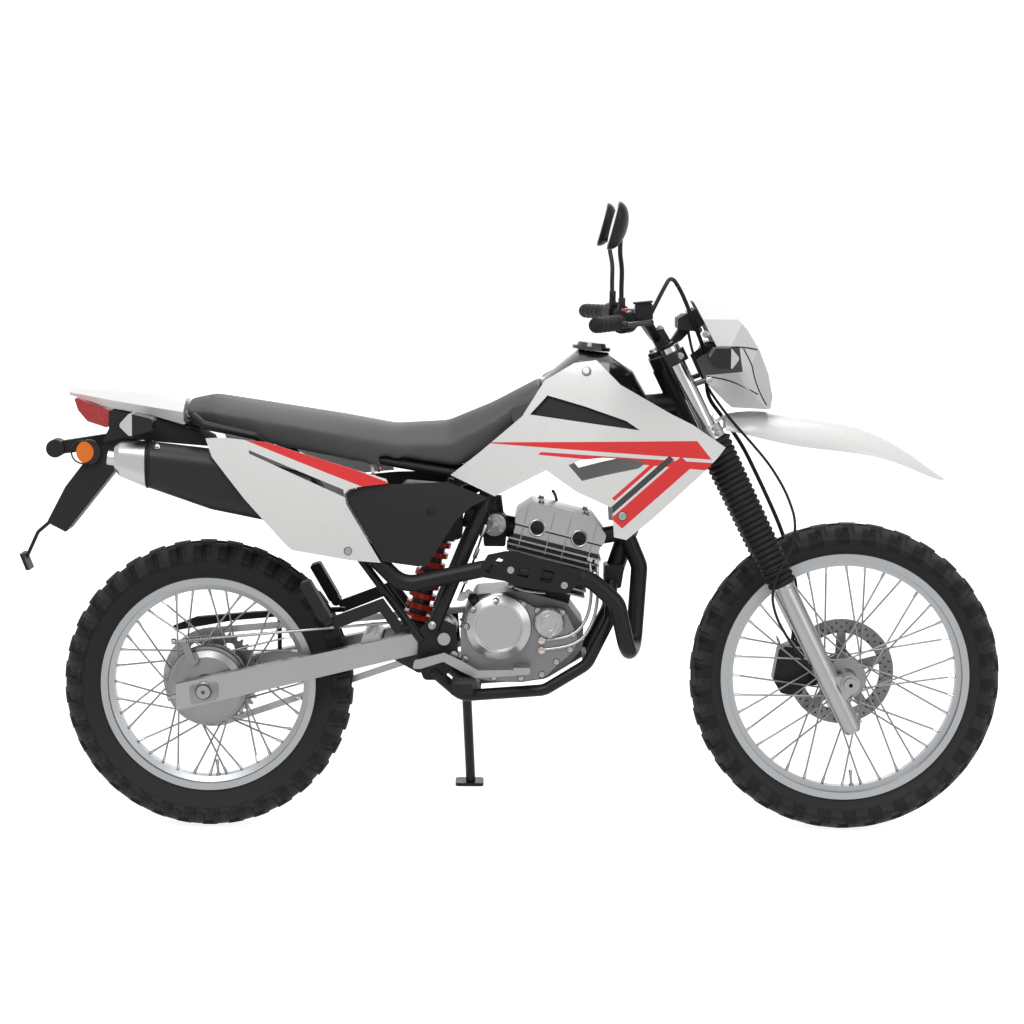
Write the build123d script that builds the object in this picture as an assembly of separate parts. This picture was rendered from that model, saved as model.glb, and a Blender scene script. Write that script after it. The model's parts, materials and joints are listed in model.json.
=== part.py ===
from build123d import *
import math
import os

# A motorcycle for road and trail. It is drawn upright, nose towards +X, right side towards -Y,
# with the rear axle over X = 0 and the ground at Z = 0. At the end it leans on its side stand.

# Driving dimensions, millimetres and degrees
WHEELBASE = 1427.0
LEAN_DEG = 9.0
RAKE_DEG = 26.3
RUN_FIT = 0.05
SEAT_GAP = 0.2
BODY_GAP = 0.3

# Wheels: tyre outside radius, half width, bead radius, rim half width
FRONT_TYRE_R = 347.7
FRONT_TYRE_HALF = 46.0
FRONT_BEAD_R = 266.7
FRONT_RIM_HALF = 20.0
REAR_TYRE_R = 324.6
REAR_TYRE_HALF = 57.0
REAR_BEAD_R = 228.6
REAR_RIM_HALF = 28.0
TYRE_CROWN_R = 62.0
RIM_FLANGE_H = 12.0
RIM_WALL = 3.2
RIM_WELL_DEPTH = 13.0
SPOKE_COUNT = 36
SPOKE_R = 2.0
AXLE_R = 8.5
AXLE_BORE_R = 4.5

# Fork and steering
AXLE_LEAD = 38.0
CLAMP_OFFSET = 26.0
LEG_Y = 95.0
FORK_TUBE_R = 19.0
SLIDER_R = 24.0
SLIDER_TOP_S = 292.0
SLIDER_BOTTOM_S = -104.0
LOWER_CLAMP_S = 622.0
LOWER_CLAMP_H = 30.0
UPPER_CLAMP_S = 805.0
UPPER_CLAMP_H = 28.0
CLAMP_BOSS_R = 29.0
STEM_R = 15.0
HEAD_TUBE_R = 27.0
GAITER_TOP_R = 38.0
GAITER_FOOT_R = 32.0
GAITER_RIBS = 16

# Front brake, on the left
DISC_R = 120.0
DISC_Y = 62.0
DISC_T = 4.0

# Swing arm and chain
PIVOT_X = 530.0
PIVOT_Z = 445.0
ARM_Y = 100.0
ARM_W = 30.0
ARM_H = 58.0
CHAIN_Y = 71.0
CHAIN_PITCH = 15.875
REAR_TEETH = 42
FRONT_TEETH = 13
COUNTERSHAFT_X = 596.0
COUNTERSHAFT_Z = 452.0

# Frame tubes
SPINE_R = 24.0
DOWNTUBE_R = 21.0
RAIL_R = 13.0
RAIL_Y = 106.0
UPRIGHT_R = 15.0
SUB_R = 10.0

# Engine
CYLINDER_TILT_DEG = 14.0
CASE_HALF_W = 86.0
COVER_OUT_Y = 134.0
CLUTCH_X = 650.0
CLUTCH_Z = 473.0
CLUTCH_R = 71.0
PIPE_R = 18.5
PIPE_Y = 148.0

# Body panels
PANEL_WALL = 4.0

# Side stand
STAND_PIVOT = (575.0, 142.0, 300.0)
STAND_FOOT = (585.0, 262.0)
STAND_LUG_END = (577.0, 104.0, 312.0)
STAND_TUBE_R = 11.0

LEAN = math.radians(LEAN_DEG)
RAKE = math.radians(RAKE_DEG)
TILT = math.radians(CYLINDER_TILT_DEG)
RAKE_SIN = math.sin(RAKE)
RAKE_COS = math.cos(RAKE)
FORK_FOOT_X = WHEELBASE - AXLE_LEAD * RAKE_COS
FORK_FOOT_Z = FRONT_TYRE_R - AXLE_LEAD * RAKE_SIN
FORK_UP = Vector(-RAKE_SIN, 0, RAKE_COS)
FORK_AHEAD = Vector(RAKE_COS, 0, RAKE_SIN)
FRONT_AXLE = Vector(WHEELBASE, 0, FRONT_TYRE_R)
REAR_AXLE = Vector(0, 0, REAR_TYRE_R)
RIGHT = -1
LEFT = 1


def fork_point(s, n=0.0, y=0.0):
    """A point s up the fork legs from the axle's level, n ahead of their plane and y to the left."""
    return Vector(FORK_FOOT_X, y, FORK_FOOT_Z) + FORK_UP * s + FORK_AHEAD * n


def fork_plane(s, n=0.0, y=0.0):
    """A plane square to the fork legs, its own x ahead and its own y to the left."""
    return Plane(origin=fork_point(s, n, y), x_dir=FORK_AHEAD, z_dir=FORK_UP)


def outline(points, radius=0.0):
    """A closed wire through points, its corners rounded where a radius is given."""
    if radius:
        return Wire(FilletPolyline(*points, radius=radius, close=True).edges())
    return Wire.make_polygon(points, close=True)


def side_plate(points, y_near, y_far, radius=0.0):
    """A plate with an (x, z) outline between two values of y."""
    wire = outline([(x, y_near, z) for x, z in points], radius)
    return Solid.extrude(Face(wire), Vector(0, y_far - y_near, 0))


def flat_plate(points, z_low, z_high, radius=0.0):
    """A plate with an (x, y) outline between two heights."""
    wire = outline([(x, y, z_low) for x, y in points], radius)
    return Solid.extrude(Face(wire), Vector(0, 0, z_high - z_low))


def rod(start, end, radius):
    """A round bar between two points."""
    start = Vector(start)
    run = Vector(end) - start
    return Solid.make_cylinder(radius, run.length, Plane(origin=start, z_dir=run))


def across(x, z, y_a, y_b, radius):
    """A round bar along Y at (x, z)."""
    return rod((x, y_a, z), (x, y_b, z), radius)


def tube(points, radius, bend):
    """A round tube along straight runs joined by bends."""
    path = FilletPolyline(*points, radius=bend) if len(points) > 2 else Line(*points)
    section = Plane(origin=path @ 0, z_dir=path % 0) * Circle(radius)
    return sweep(section, path=path).solid()


def turned(points, centre):
    """A solid of revolution about an axis along Y through centre, from (y, radius) points."""
    wire = Wire.make_polygon([(centre.X, centre.Y + y, centre.Z + r) for y, r in points], close=True)
    return Solid.revolve(Face(wire), 360, Axis(centre, (0, 1, 0)))


def turned_on_fork(points, y, n=0.0):
    """A solid of revolution about a fork leg, from (s, radius) points."""
    wire = Wire.make_polygon([fork_point(s, n + r, y) for s, r in points], close=True)
    return Solid.revolve(Face(wire), 360, Axis(fork_point(0, n, y), FORK_UP))


def joined(first, *others):
    """One solid made of all the pieces."""
    shape = first
    for other in others:
        shape = shape + other
    return shape.clean() if hasattr(shape, "clean") else shape


def cut(shape, *tools):
    """The shape with the tools taken out of it."""
    for tool in tools:
        shape = shape - tool
    return shape


def foot_on(carrier, start, end, radius):
    """A post from the start point to the carrier's surface; its end lies inside the carrier."""
    rest = cut(rod(start, end, radius), carrier)
    return min(rest.solids(), key=lambda solid: (solid.center() - start).length)


def wall_at(panel_shape, x, z, side):
    """The middle of a panel's wall at a place seen from the side."""
    probe = across(x, z, min(0, side * 400), max(0, side * 400), 1.0)
    return (panel_shape & probe).center()


def mirrored(shape):
    """The same piece on the other side of the motorcycle."""
    return mirror(shape, about=Plane.XZ)


def group(*shapes):
    """Several solids that share a node."""
    solids = []
    for shape in shapes:
        solids.extend(shape.solids())
    return Compound(solids)


def both_sides(shape):
    """A piece and its mirror image."""
    return group(shape, mirrored(shape))


def dome_face(x, half_low, z_low, half_side, z_side, z_top):
    """A section across the machine with a flat base, straight sides and an arched top."""
    low_right = Vector(x, -half_low, z_low)
    low_left = Vector(x, half_low, z_low)
    side_right = Vector(x, -half_side, z_side)
    side_left = Vector(x, half_side, z_side)
    edges = [
        Edge.make_line(low_left, low_right),
        Edge.make_line(low_right, side_right),
        Edge.make_three_point_arc(side_right, Vector(x, 0, z_top), side_left),
        Edge.make_line(side_left, low_left),
    ]
    return Wire(edges)


def arch_face(x, z_top, half, drop, wall):
    """A thin arched section across the machine, as a mudguard has."""
    outer = [Vector(x, -half, z_top - drop), Vector(x, 0, z_top), Vector(x, half, z_top - drop)]
    inner = [
        Vector(x, -half + wall, z_top - drop),
        Vector(x, 0, z_top - wall),
        Vector(x, half - wall, z_top - drop),
    ]
    edges = [
        Edge.make_three_point_arc(*outer),
        Edge.make_line(outer[2], inner[2]),
        Edge.make_three_point_arc(inner[2], inner[1], inner[0]),
        Edge.make_line(inner[0], outer[0]),
    ]
    return Wire(edges)


def panel_slab(stations, rows, wall, side):
    """A bowed sheet. Each row is a height and the sheet's outer |y| at the three x stations."""
    wires = []
    for z, y_rear, y_mid, y_front in rows:
        outer = [Vector(x, side * y, z) for x, y in zip(stations, (y_rear, y_mid, y_front))]
        inner = [point - Vector(0, side * wall, 0) for point in outer]
        edges = [
            Edge.make_three_point_arc(*outer),
            Edge.make_line(outer[2], inner[2]),
            Edge.make_three_point_arc(inner[2], inner[1], inner[0]),
            Edge.make_line(inner[0], outer[0]),
        ]
        wires.append(Wire(edges))
    return Solid.make_loft(wires, ruled=False)


def panel(points, slab, side, holes=(), radius=0.0):
    """A body panel: an (x, z) outline cut from a bowed sheet, with windows."""
    shape = slab & side_plate(points, 0, side * 400, radius)
    for hole in holes:
        shape = shape - side_plate(hole, 0, side * 400)
    return max(shape.solids(), key=lambda solid: solid.volume)


# Wheels

def tyre_profile(radius, half, bead_r, rim_half):
    """The tyre's closed section as a face in the plane across the machine."""
    crown_half = half * 0.86
    crown_drop = TYRE_CROWN_R - math.sqrt(TYRE_CROWN_R ** 2 - crown_half ** 2)
    shoulder_r = radius - crown_drop
    bulge_r = bead_r + (radius - bead_r) * 0.5
    inner_r = radius - 16.0
    seat_r = bead_r + SEAT_GAP
    edges = [
        Edge.make_three_point_arc((0, -crown_half, shoulder_r), (0, 0, radius), (0, crown_half, shoulder_r)),
        Edge.make_line((0, crown_half, shoulder_r), (0, half, bulge_r + 12)),
        Edge.make_line((0, half, bulge_r + 12), (0, rim_half - SEAT_GAP, bead_r + 16)),
        Edge.make_line((0, rim_half - SEAT_GAP, bead_r + 16), (0, rim_half - SEAT_GAP, seat_r)),
        Edge.make_line((0, rim_half - SEAT_GAP, seat_r), (0, rim_half - 9, seat_r)),
        Edge.make_line((0, rim_half - 9, seat_r), (0, half - 9, bulge_r + 8)),
        Edge.make_line((0, half - 9, bulge_r + 8), (0, crown_half - 12, inner_r - crown_drop + 4)),
        Edge.make_line((0, crown_half - 12, inner_r - crown_drop + 4), (0, -crown_half + 12, inner_r - crown_drop + 4)),
        Edge.make_line((0, -crown_half + 12, inner_r - crown_drop + 4), (0, -half + 9, bulge_r + 8)),
        Edge.make_line((0, -half + 9, bulge_r + 8), (0, -rim_half + 9, seat_r)),
        Edge.make_line((0, -rim_half + 9, seat_r), (0, -rim_half + SEAT_GAP, seat_r)),
        Edge.make_line((0, -rim_half + SEAT_GAP, seat_r), (0, -rim_half + SEAT_GAP, bead_r + 16)),
        Edge.make_line((0, -rim_half + SEAT_GAP, bead_r + 16), (0, -half, bulge_r + 12)),
        Edge.make_line((0, -half, bulge_r + 12), (0, -crown_half, shoulder_r)),
    ]
    return Face(Wire(edges))


LUG_H = 8.0
LUG_COUNT = 34
LUG_ROWS = (
    # side from and to, as shares of the tyre's half width, share of a pitch, phase in pitches
    (-0.92, -0.46, 0.60, 0.5),
    (-0.34, 0.34, 0.56, 0.0),
    (0.46, 0.92, 0.60, 0.5),
)


def crown_r(radius, y):
    """The tyre's radius over its tread, y to the side of its middle."""
    return radius - TYRE_CROWN_R + math.sqrt(TYRE_CROWN_R ** 2 - y ** 2)


def lug_row(radius, y_a, y_b, share, phase):
    """One ring of tread lugs, each a wedge turned about the axle, the first in the middle of the tyre's foot."""
    y_mid = (y_a + y_b) / 2
    low_a, low_b = crown_r(radius, y_a) - LUG_H - 2, crown_r(radius, y_b) - LUG_H - 2
    top = Edge.make_three_point_arc(
        (0, y_a, crown_r(radius, y_a)), (0, y_mid, crown_r(radius, y_mid)), (0, y_b, crown_r(radius, y_b)))
    edges = [
        top,
        Edge.make_line((0, y_b, crown_r(radius, y_b)), (0, y_b, low_b)),
        Edge.make_line((0, y_b, low_b), (0, y_a, low_a)),
        Edge.make_line((0, y_a, low_a), (0, y_a, crown_r(radius, y_a))),
    ]
    pitch = 360 / LUG_COUNT
    wedge = Solid.revolve(Face(Wire(edges)), pitch * share, Axis((0, 0, 0), (0, 1, 0)))
    start = 180 + (phase - share / 2) * pitch
    return [Rot(Y=start + index * pitch) * wedge for index in range(LUG_COUNT)]


def tyre(radius, half, bead_r, rim_half, centre):
    """A tyre about its own axle, with three rings of lugs on its carcass."""
    profile = tyre_profile(radius - LUG_H, half, bead_r, rim_half)
    ring = Solid.revolve(profile, 360, Axis((0, 0, 0), (0, 1, 0)))
    lugs = []
    for from_share, to_share, share, phase in LUG_ROWS:
        lugs += lug_row(radius, from_share * half, to_share * half, share, phase)
    return Pos(centre) * ring.fuse(*lugs)


def rim(bead_r, rim_half, centre):
    """A spoked wheel's rim: two flanges, bead seats and a dropped well."""
    flange_r = bead_r + RIM_FLANGE_H
    well_r = bead_r - RIM_WELL_DEPTH
    edge = rim_half + RIM_WALL
    well_half = rim_half * 0.45
    half_points = [
        (edge, flange_r),
        (rim_half, flange_r),
        (rim_half, bead_r),
        (rim_half - 10, bead_r - 1),
        (well_half, well_r),
    ]
    under_points = [
        (well_half + RIM_WALL * 0.6, well_r - RIM_WALL),
        (rim_half - 8, bead_r - 1 - RIM_WALL),
        (edge, bead_r - RIM_WALL),
    ]
    upper = half_points + [(-y, r) for y, r in reversed(half_points)]
    under = [(-y, r) for y, r in reversed(under_points)] + under_points
    return turned(upper + under, centre)


def spokes(hub_r, flange_y, well_r, centre, cross_deg):
    """Crossed spokes, half of them leaning each way and half on each flange."""
    bars = []
    step = 360.0 / SPOKE_COUNT
    for index in range(SPOKE_COUNT):
        side = RIGHT if index % 2 else LEFT
        lean = 1 if (index // 2) % 2 else -1
        rim_angle = math.radians(index * step)
        hub_angle = rim_angle + math.radians(lean * cross_deg)
        y_hub = side * (flange_y + lean * 2.6)
        y_rim = side * (4.5 + lean * 2.4)
        start = centre + Vector((hub_r - 4) * math.cos(hub_angle), y_hub, (hub_r - 4) * math.sin(hub_angle))
        end = centre + Vector((well_r - 0.6) * math.cos(rim_angle), y_rim, (well_r - 0.6) * math.sin(rim_angle))
        bars.append(rod(start, end, SPOKE_R))
    return bars


def front_hub():
    """The front hub with its spokes, and the disc's seat on the left."""
    points = [
        (-56, AXLE_R + RUN_FIT), (-56, 17), (-39, 24), (-37, 46), (-31, 46), (-29, 24), (29, 24), (31, 46), (37, 46),
        (39, 30), (DISC_Y, 30), (DISC_Y, AXLE_R + RUN_FIT),
    ]
    body = turned(points, FRONT_AXLE)
    well_r = FRONT_BEAD_R - RIM_WELL_DEPTH - RIM_WALL
    return joined(body, *spokes(46.0, 34.0, well_r, FRONT_AXLE, 62.0))


def brake_disc():
    """The front brake disc on its five arms, outside the left spokes."""
    centre = Vector(FRONT_AXLE.X, 0, FRONT_AXLE.Z)
    ring = across(centre.X, centre.Z, DISC_Y, DISC_Y + DISC_T, DISC_R)
    ring = cut(ring, across(centre.X, centre.Z, DISC_Y - 1, DISC_Y + DISC_T + 1, DISC_R - 32))
    bowl = across(centre.X, centre.Z, DISC_Y, DISC_Y + DISC_T, 44.0)
    arms = [bowl]
    for index in range(5):
        angle = math.radians(90 + 72 * index)
        reach = DISC_R - 30
        tip = Vector(math.cos(angle), 0, math.sin(angle))
        across_tip = Vector(-tip.Z, 0, tip.X)
        corners = [
            centre + tip * 40 + across_tip * 13,
            centre + tip * reach + across_tip * 10,
            centre + tip * reach - across_tip * 10,
            centre + tip * 40 - across_tip * 13,
        ]
        arms.append(side_plate([(p.X, p.Z) for p in corners], DISC_Y, DISC_Y + DISC_T))
    disc = joined(ring, *arms)
    return cut(disc, across(centre.X, centre.Z, DISC_Y - 1, DISC_Y + DISC_T + 1, 17.0))


def sprocket_outline(teeth, pitch, centre):
    """The (x, z) points of a toothed wheel with flat-topped teeth."""
    pitch_r = pitch / (2 * math.sin(math.pi / teeth))
    points = []
    for index in range(teeth):
        for share, r in ((-0.36, pitch_r - 5.6), (-0.12, pitch_r + 3.4), (0.12, pitch_r + 3.4), (0.36, pitch_r - 5.6)):
            angle = 2 * math.pi * (index + share) / teeth
            points.append((centre.X + r * math.cos(angle), centre.Z + r * math.sin(angle)))
    return points


def rear_sprocket():
    """The rear sprocket, lightened by round windows."""
    plate = side_plate(sprocket_outline(REAR_TEETH, CHAIN_PITCH, REAR_AXLE), CHAIN_Y - 3, CHAIN_Y + 3)
    plate = cut(plate, across(REAR_AXLE.X, REAR_AXLE.Z, CHAIN_Y - 4, CHAIN_Y + 4, 30.0))
    for index in range(6):
        angle = math.radians(60 * index)
        x = REAR_AXLE.X + 74 * math.cos(angle)
        z = REAR_AXLE.Z + 74 * math.sin(angle)
        plate = cut(plate, across(x, z, CHAIN_Y - 4, CHAIN_Y + 4, 14.0))
    boss = turned([(flange, r) for flange, r in (
        (41.3, 30.0), (41.3, 56.0), (CHAIN_Y - 3, 50.0), (CHAIN_Y - 3, 30.0))], REAR_AXLE)
    return joined(plate, boss)


# Front end, on the steering

def fork_tubes():
    """The two bright upper tubes of the fork."""
    top = UPPER_CLAMP_S + UPPER_CLAMP_H + 12
    bars = [rod(fork_point(200, 0, side * LEG_Y), fork_point(top, 0, side * LEG_Y), FORK_TUBE_R) for side in (RIGHT, LEFT)]
    return group(*bars)


def slider(side):
    """A fork slider with the axle's clamp in front of its foot."""
    y = side * LEG_Y
    profile = [
        (SLIDER_BOTTOM_S, 0),
        (SLIDER_BOTTOM_S, 16.0),
        (SLIDER_BOTTOM_S + 10, SLIDER_R - 2),
        (SLIDER_TOP_S - 40, SLIDER_R),
        (SLIDER_TOP_S - 34, SLIDER_R + 2),
        (SLIDER_TOP_S, SLIDER_R + 2),
        (SLIDER_TOP_S, FORK_TUBE_R + RUN_FIT),
        (200 - BODY_GAP, FORK_TUBE_R + RUN_FIT),
        (200 - BODY_GAP, 0),
    ]
    leg = turned_on_fork(profile, y)
    clamp = across(WHEELBASE, FRONT_AXLE.Z, y - side * 22, y + side * 24, 21.0)
    web = Solid.extrude(
        Face(outline([
            fork_point(-34, 4, y - side * 18),
            fork_point(34, 4, y - side * 18),
            fork_point(19, AXLE_LEAD, y - side * 18),
            fork_point(-19, AXLE_LEAD, y - side * 18),
        ])),
        Vector(0, side * 36, 0),
    )
    leg = joined(leg, clamp, web)
    return cut(leg, across(WHEELBASE, FRONT_AXLE.Z, y - 60, y + 60, AXLE_R))


def gaiter(side):
    """A ribbed boot between the lower clamp and the slider."""
    foot = SLIDER_TOP_S - 30
    top = LOWER_CLAMP_S - 2
    pitch = (top - foot) / GAITER_RIBS
    points = [(foot, SLIDER_R + 2 + SEAT_GAP)]
    for index in range(GAITER_RIBS):
        share = index / (GAITER_RIBS - 1)
        crest = GAITER_FOOT_R + (GAITER_TOP_R - GAITER_FOOT_R) * share
        points.append((foot + index * pitch, crest - 5))
        points.append((foot + (index + 0.5) * pitch, crest))
    points.append((top, GAITER_TOP_R - 5))
    points.append((top, SLIDER_R + 2 + SEAT_GAP))
    return turned_on_fork(points, side * LEG_Y)


def clamp_plate(s, height):
    """A fork clamp: two bosses for the legs and one for the stem, joined by a web."""
    centre = fork_plane(s)
    web = centre * Polyline(
        (-CLAMP_OFFSET - 24, -40),
        (-CLAMP_OFFSET - 24, 40),
        (-16, LEG_Y + 8),
        (20, LEG_Y - 2),
        (CLAMP_BOSS_R - 14, 30),
        (CLAMP_BOSS_R - 14, -30),
        (20, -LEG_Y + 2),
        (-16, -LEG_Y - 8),
        close=True,
    )
    shape = Solid.extrude(Face(Wire(web.edges())), FORK_UP * height)
    for y in (-LEG_Y, LEG_Y):
        boss = rod(fork_point(s, 0, y), fork_point(s + height, 0, y), CLAMP_BOSS_R)
        shape = shape + boss
    for y in (-LEG_Y, LEG_Y):
        shape = shape - rod(fork_point(s - 1, 0, y), fork_point(s + height + 1, 0, y), FORK_TUBE_R + RUN_FIT)
    return shape


def triple_clamps():
    """The lower clamp with its stem, and the upper clamp on top of it."""
    stem_top = UPPER_CLAMP_S + UPPER_CLAMP_H + 10
    stem = rod(fork_point(LOWER_CLAMP_S, -CLAMP_OFFSET), fork_point(stem_top, -CLAMP_OFFSET), STEM_R)
    lower = clamp_plate(LOWER_CLAMP_S, LOWER_CLAMP_H)
    upper = clamp_plate(UPPER_CLAMP_S, UPPER_CLAMP_H)
    nut = rod(
        fork_point(UPPER_CLAMP_S + UPPER_CLAMP_H, -CLAMP_OFFSET),
        fork_point(stem_top, -CLAMP_OFFSET),
        21.0,
    )
    return joined(lower, stem, upper, nut, *bar_risers())


BAR_CENTRE = Vector(992, 0, 1108)
BAR_R = 11.1
BAR_POINTS = ((992, 0, 1108), (992, 62, 1108), (962, 178, 1152), (851, 418, 1149))
BAR_CLAMP_Y = 34.0
GRIP_LENGTH = 122.0
GRIP_R = 16.5


def handlebar():
    """The handlebar, one tube from grip to grip."""
    left = [Vector(*point) for point in BAR_POINTS[1:]]
    right = [Vector(p.X, -p.Y, p.Z) for p in reversed(left)]
    return tube(right + left, BAR_R, 45.0)


def bar_point(share_y):
    """A point and the outward direction on the outer run of the left bar, at |y|."""
    start = Vector(*BAR_POINTS[2])
    end = Vector(*BAR_POINTS[3])
    run = end - start
    t = (share_y - start.Y) / run.Y
    return start + run * t, run.normalized()


def bar_risers():
    """The two clamps that hold the bar on the upper fork clamp."""
    pieces = []
    foot_s = UPPER_CLAMP_S + UPPER_CLAMP_H
    for y in (-BAR_CLAMP_Y, BAR_CLAMP_Y):
        foot = fork_point(foot_s, -CLAMP_OFFSET + 22, y)
        block = Solid.extrude(
            Face(outline([
                Vector(foot.X - 16, y - 12, foot.Z - 7.9),
                Vector(foot.X + 16, y - 12, foot.Z + 7.9),
                Vector(BAR_CENTRE.X + 19, y - 12, BAR_CENTRE.Z + 17),
                Vector(BAR_CENTRE.X - 19, y - 12, BAR_CENTRE.Z + 17),
            ])),
            Vector(0, 24, 0),
        )
        pieces.append(cut(block, across(BAR_CENTRE.X, BAR_CENTRE.Z, y - 20, y + 20, BAR_R + RUN_FIT)))
    return pieces


def grips():
    """A rubber grip on each end of the bar."""
    end, way = bar_point(418 - 3)
    start = end - way * GRIP_LENGTH
    sleeve = rod(start, end + way * 7, GRIP_R)
    collar = rod(start - way * 5, start, GRIP_R + 4)
    core = rod(start - way * 20, end + way * 3.6, BAR_R + RUN_FIT)
    return both_sides(cut(joined(sleeve, collar), core))


def bar_controls():
    """Switch housings, lever perches and levers, with the brake fluid reservoir on the right."""
    end, way = bar_point(BAR_POINTS[3][1] - 3)
    inner = end - way * (GRIP_LENGTH + 5 + BODY_GAP)
    ahead = Vector(way.Y, -way.X, 0).normalized()
    core = rod(inner - way * 120, inner + way * 120, BAR_R + RUN_FIT)
    housing = rod(inner - way * 36, inner, 24.0)
    perch = rod(inner - way * 62, inner - way * 36, 17.0)
    root = inner - way * 49 + ahead * 12
    knuckle = inner - way * 20 + ahead * 58
    tip = inner + way * 105 + ahead * 52
    lever = joined(rod(root, knuckle, 7.5), Pos(knuckle) * Solid.make_sphere(7.5), rod(knuckle, tip, 5.5))
    control = cut(joined(housing, perch, lever, Pos(tip) * Solid.make_sphere(8.0)), core)
    throttle = mirrored(control)
    centre = inner - way * 49
    cup = side_plate(
        [(centre.X + 8, centre.Z + 4), (centre.X + 48, centre.Z + 4), (centre.X + 46, centre.Z + 40),
         (centre.X + 10, centre.Z + 36)], -centre.Y - 21, -centre.Y + 21, 4.0)
    throttle = cut(joined(throttle, cup), mirrored(core))
    return group(control, throttle)


FENDER_ROWS = (
    # x, top z, half width, side drop
    (1150, 936, 44, 34),
    (1240, 942, 62, 58),
    (1381, 924, 66, 62),
    (1500, 886, 58, 44),
    (1600, 824, 36, 20),
    (1640, 797, 14, 6),
)
FENDER_WALL = 3.0


def front_fender(clamps):
    """The high front mudguard: a thin arch that narrows to its tip, hung under the lower clamp."""
    wires = [arch_face(x, z, half, drop, FENDER_WALL) for x, z, half, drop in FENDER_ROWS]
    shell = Solid.make_loft(wires, ruled=False)
    tongue = side_plate([(1190, 936), (1150, 930), (1112, 904), (1112, 912), (1150, 935)], -14, 14)
    return cut(joined(shell, tongue), clamps)


COWL_TOP = ((1072, 1190), (1134, 1187), (1190, 1128), (1218, 1084), (1240, 1030), (1250, 980), (1246, 952))
COWL_REAR = ((1160, 956), (1100, 1014), (1078, 1062), (1122, 1092))
COWL_HALF_W = 114.0
COWL_WALL = 4.0


def cowl_block(inset):
    """The cowl's outer form, or the same form drawn in by its wall."""
    side = [(x - inset * 0.6, z - inset * 0.8) for x, z in COWL_TOP]
    side += [(x - inset * 8, z + inset) for x, z in COWL_REAR[:2]]
    side += [(x - inset * 8, z) for x, z in COWL_REAR[2:]]
    half = COWL_HALF_W - inset
    profile = side_plate(side, -half, half)
    plan = flat_plate(
        [(900, -half), (1150, -half), (1262 - inset, -half * 0.5), (1262 - inset, half * 0.5), (1150, half),
         (900, half)], 900, 1240)
    face = [(-half * 0.55, 1200), (half * 0.55, 1200), (half * 0.86, 1150), (half, 1085), (half * 0.84, 1005),
            (half * 0.5, 930), (-half * 0.5, 930), (-half * 0.84, 1005), (-half, 1085), (-half * 0.86, 1150)]
    front = Solid.extrude(Face(outline([(800, y, z - inset) for y, z in face])), Vector(600, 0, 0))
    return max((profile & plan & front).solids(), key=lambda item: item.volume)


def headlight_pieces(tubes):
    """The headlight cowl, hollow and open behind, and the lens that fills its window."""
    outer = cowl_block(0)
    window = side_plate([(1184, 1092), (1320, 1092), (1320, 966), (1196, 966)], -64, 64, 6.0)
    shell = cut(outer, cowl_block(COWL_WALL), window)
    shell = max(shell.solids(), key=lambda item: item.volume)
    opening = side_plate([(1184, 1091.6), (1320, 1091.6), (1320, 966.4), (1196, 966.4)], -63.6, 63.6, 6.0)
    lens = max((outer & opening).solids(), key=lambda item: item.volume)
    feet = []
    for side in (RIGHT, LEFT):
        feet.append(foot_on(tubes, Vector(1113, side * 98, 1022), Vector(1060, side * LEG_Y, 1003), 6.0))
    return joined(shell, *feet), lens


def instrument():
    """The speedometer housing above the upper clamp."""
    box = side_plate([(1040, 1126), (1040, 1150), (1078, 1172), (1100, 1140), (1078, 1122)], -58, 58, 3.0)
    leg = side_plate([(1018, 1084), (1050, 1100), (1076, 1128), (1054, 1140)], -22, 22)
    clamp_top = fork_point(UPPER_CLAMP_S + UPPER_CLAMP_H, 0)
    below = Plane(origin=clamp_top, x_dir=FORK_AHEAD, z_dir=FORK_UP)
    block = below * Pos(0, 0, -100) * Box(400, 400, 200)
    return cut(joined(box, leg), block)


MIRROR_Y = 338.0


def mirrors():
    """Two mirrors, each a rounded shell on a tall bent stem."""
    end, way = bar_point(BAR_POINTS[3][1] - 3)
    foot = end - way * (GRIP_LENGTH + 5 + BODY_GAP + 49) + Vector(0, 0, 17 + BODY_GAP)
    stem = tube([foot, (foot.X - 2, foot.Y + 3, 1240), (915, MIRROR_Y - 14, 1318)], 5.0, 40.0)
    glass = Plane(origin=(884, MIRROR_Y, 1352), x_dir=(0, 1, 0), z_dir=(0.968, 0, -0.25))
    rows = ((0, 132, 104, 40), (16, 130, 102, 40), (38, 84, 62, 26))
    wires = [(glass.offset(depth) * RectangleRounded(w, h, r)).wire() for depth, w, h, r in rows]
    head = Solid.make_loft(wires, ruled=False)
    return both_sides(joined(head, stem))


def front_signals():
    """The two front turn signals on their short stalks."""
    body = side_plate([(1100, 1070), (1114, 1048), (1150, 1048), (1166, 1070), (1148, 1092), (1114, 1092)],
                      122, 196, 8.0)
    stalk = across(1118, 1070, COWL_HALF_W + BODY_GAP, 124, 8.0)
    return both_sides(joined(body, stalk))


CALIPER_Y = (40.0, 93.0)


def caliper():
    """The front brake caliper, bridging the disc behind the left slider."""
    block = side_plate([(1272, 330), (1290, 300), (1330, 292), (1352, 322), (1350, 392), (1322, 418), (1284, 400)],
                       CALIPER_Y[0], CALIPER_Y[1], 8.0)
    slot = across(WHEELBASE, FRONT_AXLE.Z, DISC_Y - 5, DISC_Y + DISC_T + 5, DISC_R + 5)
    block = cut(block, slot)
    bracket = side_plate([(1330, 312), (1376, 312), (1362, 384), (1330, 384)], 76, 93)
    leg = rod(fork_point(-40, 0, LEG_Y), fork_point(150, 0, LEG_Y), SLIDER_R + 0.1)
    return cut(joined(block, bracket), leg)


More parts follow.
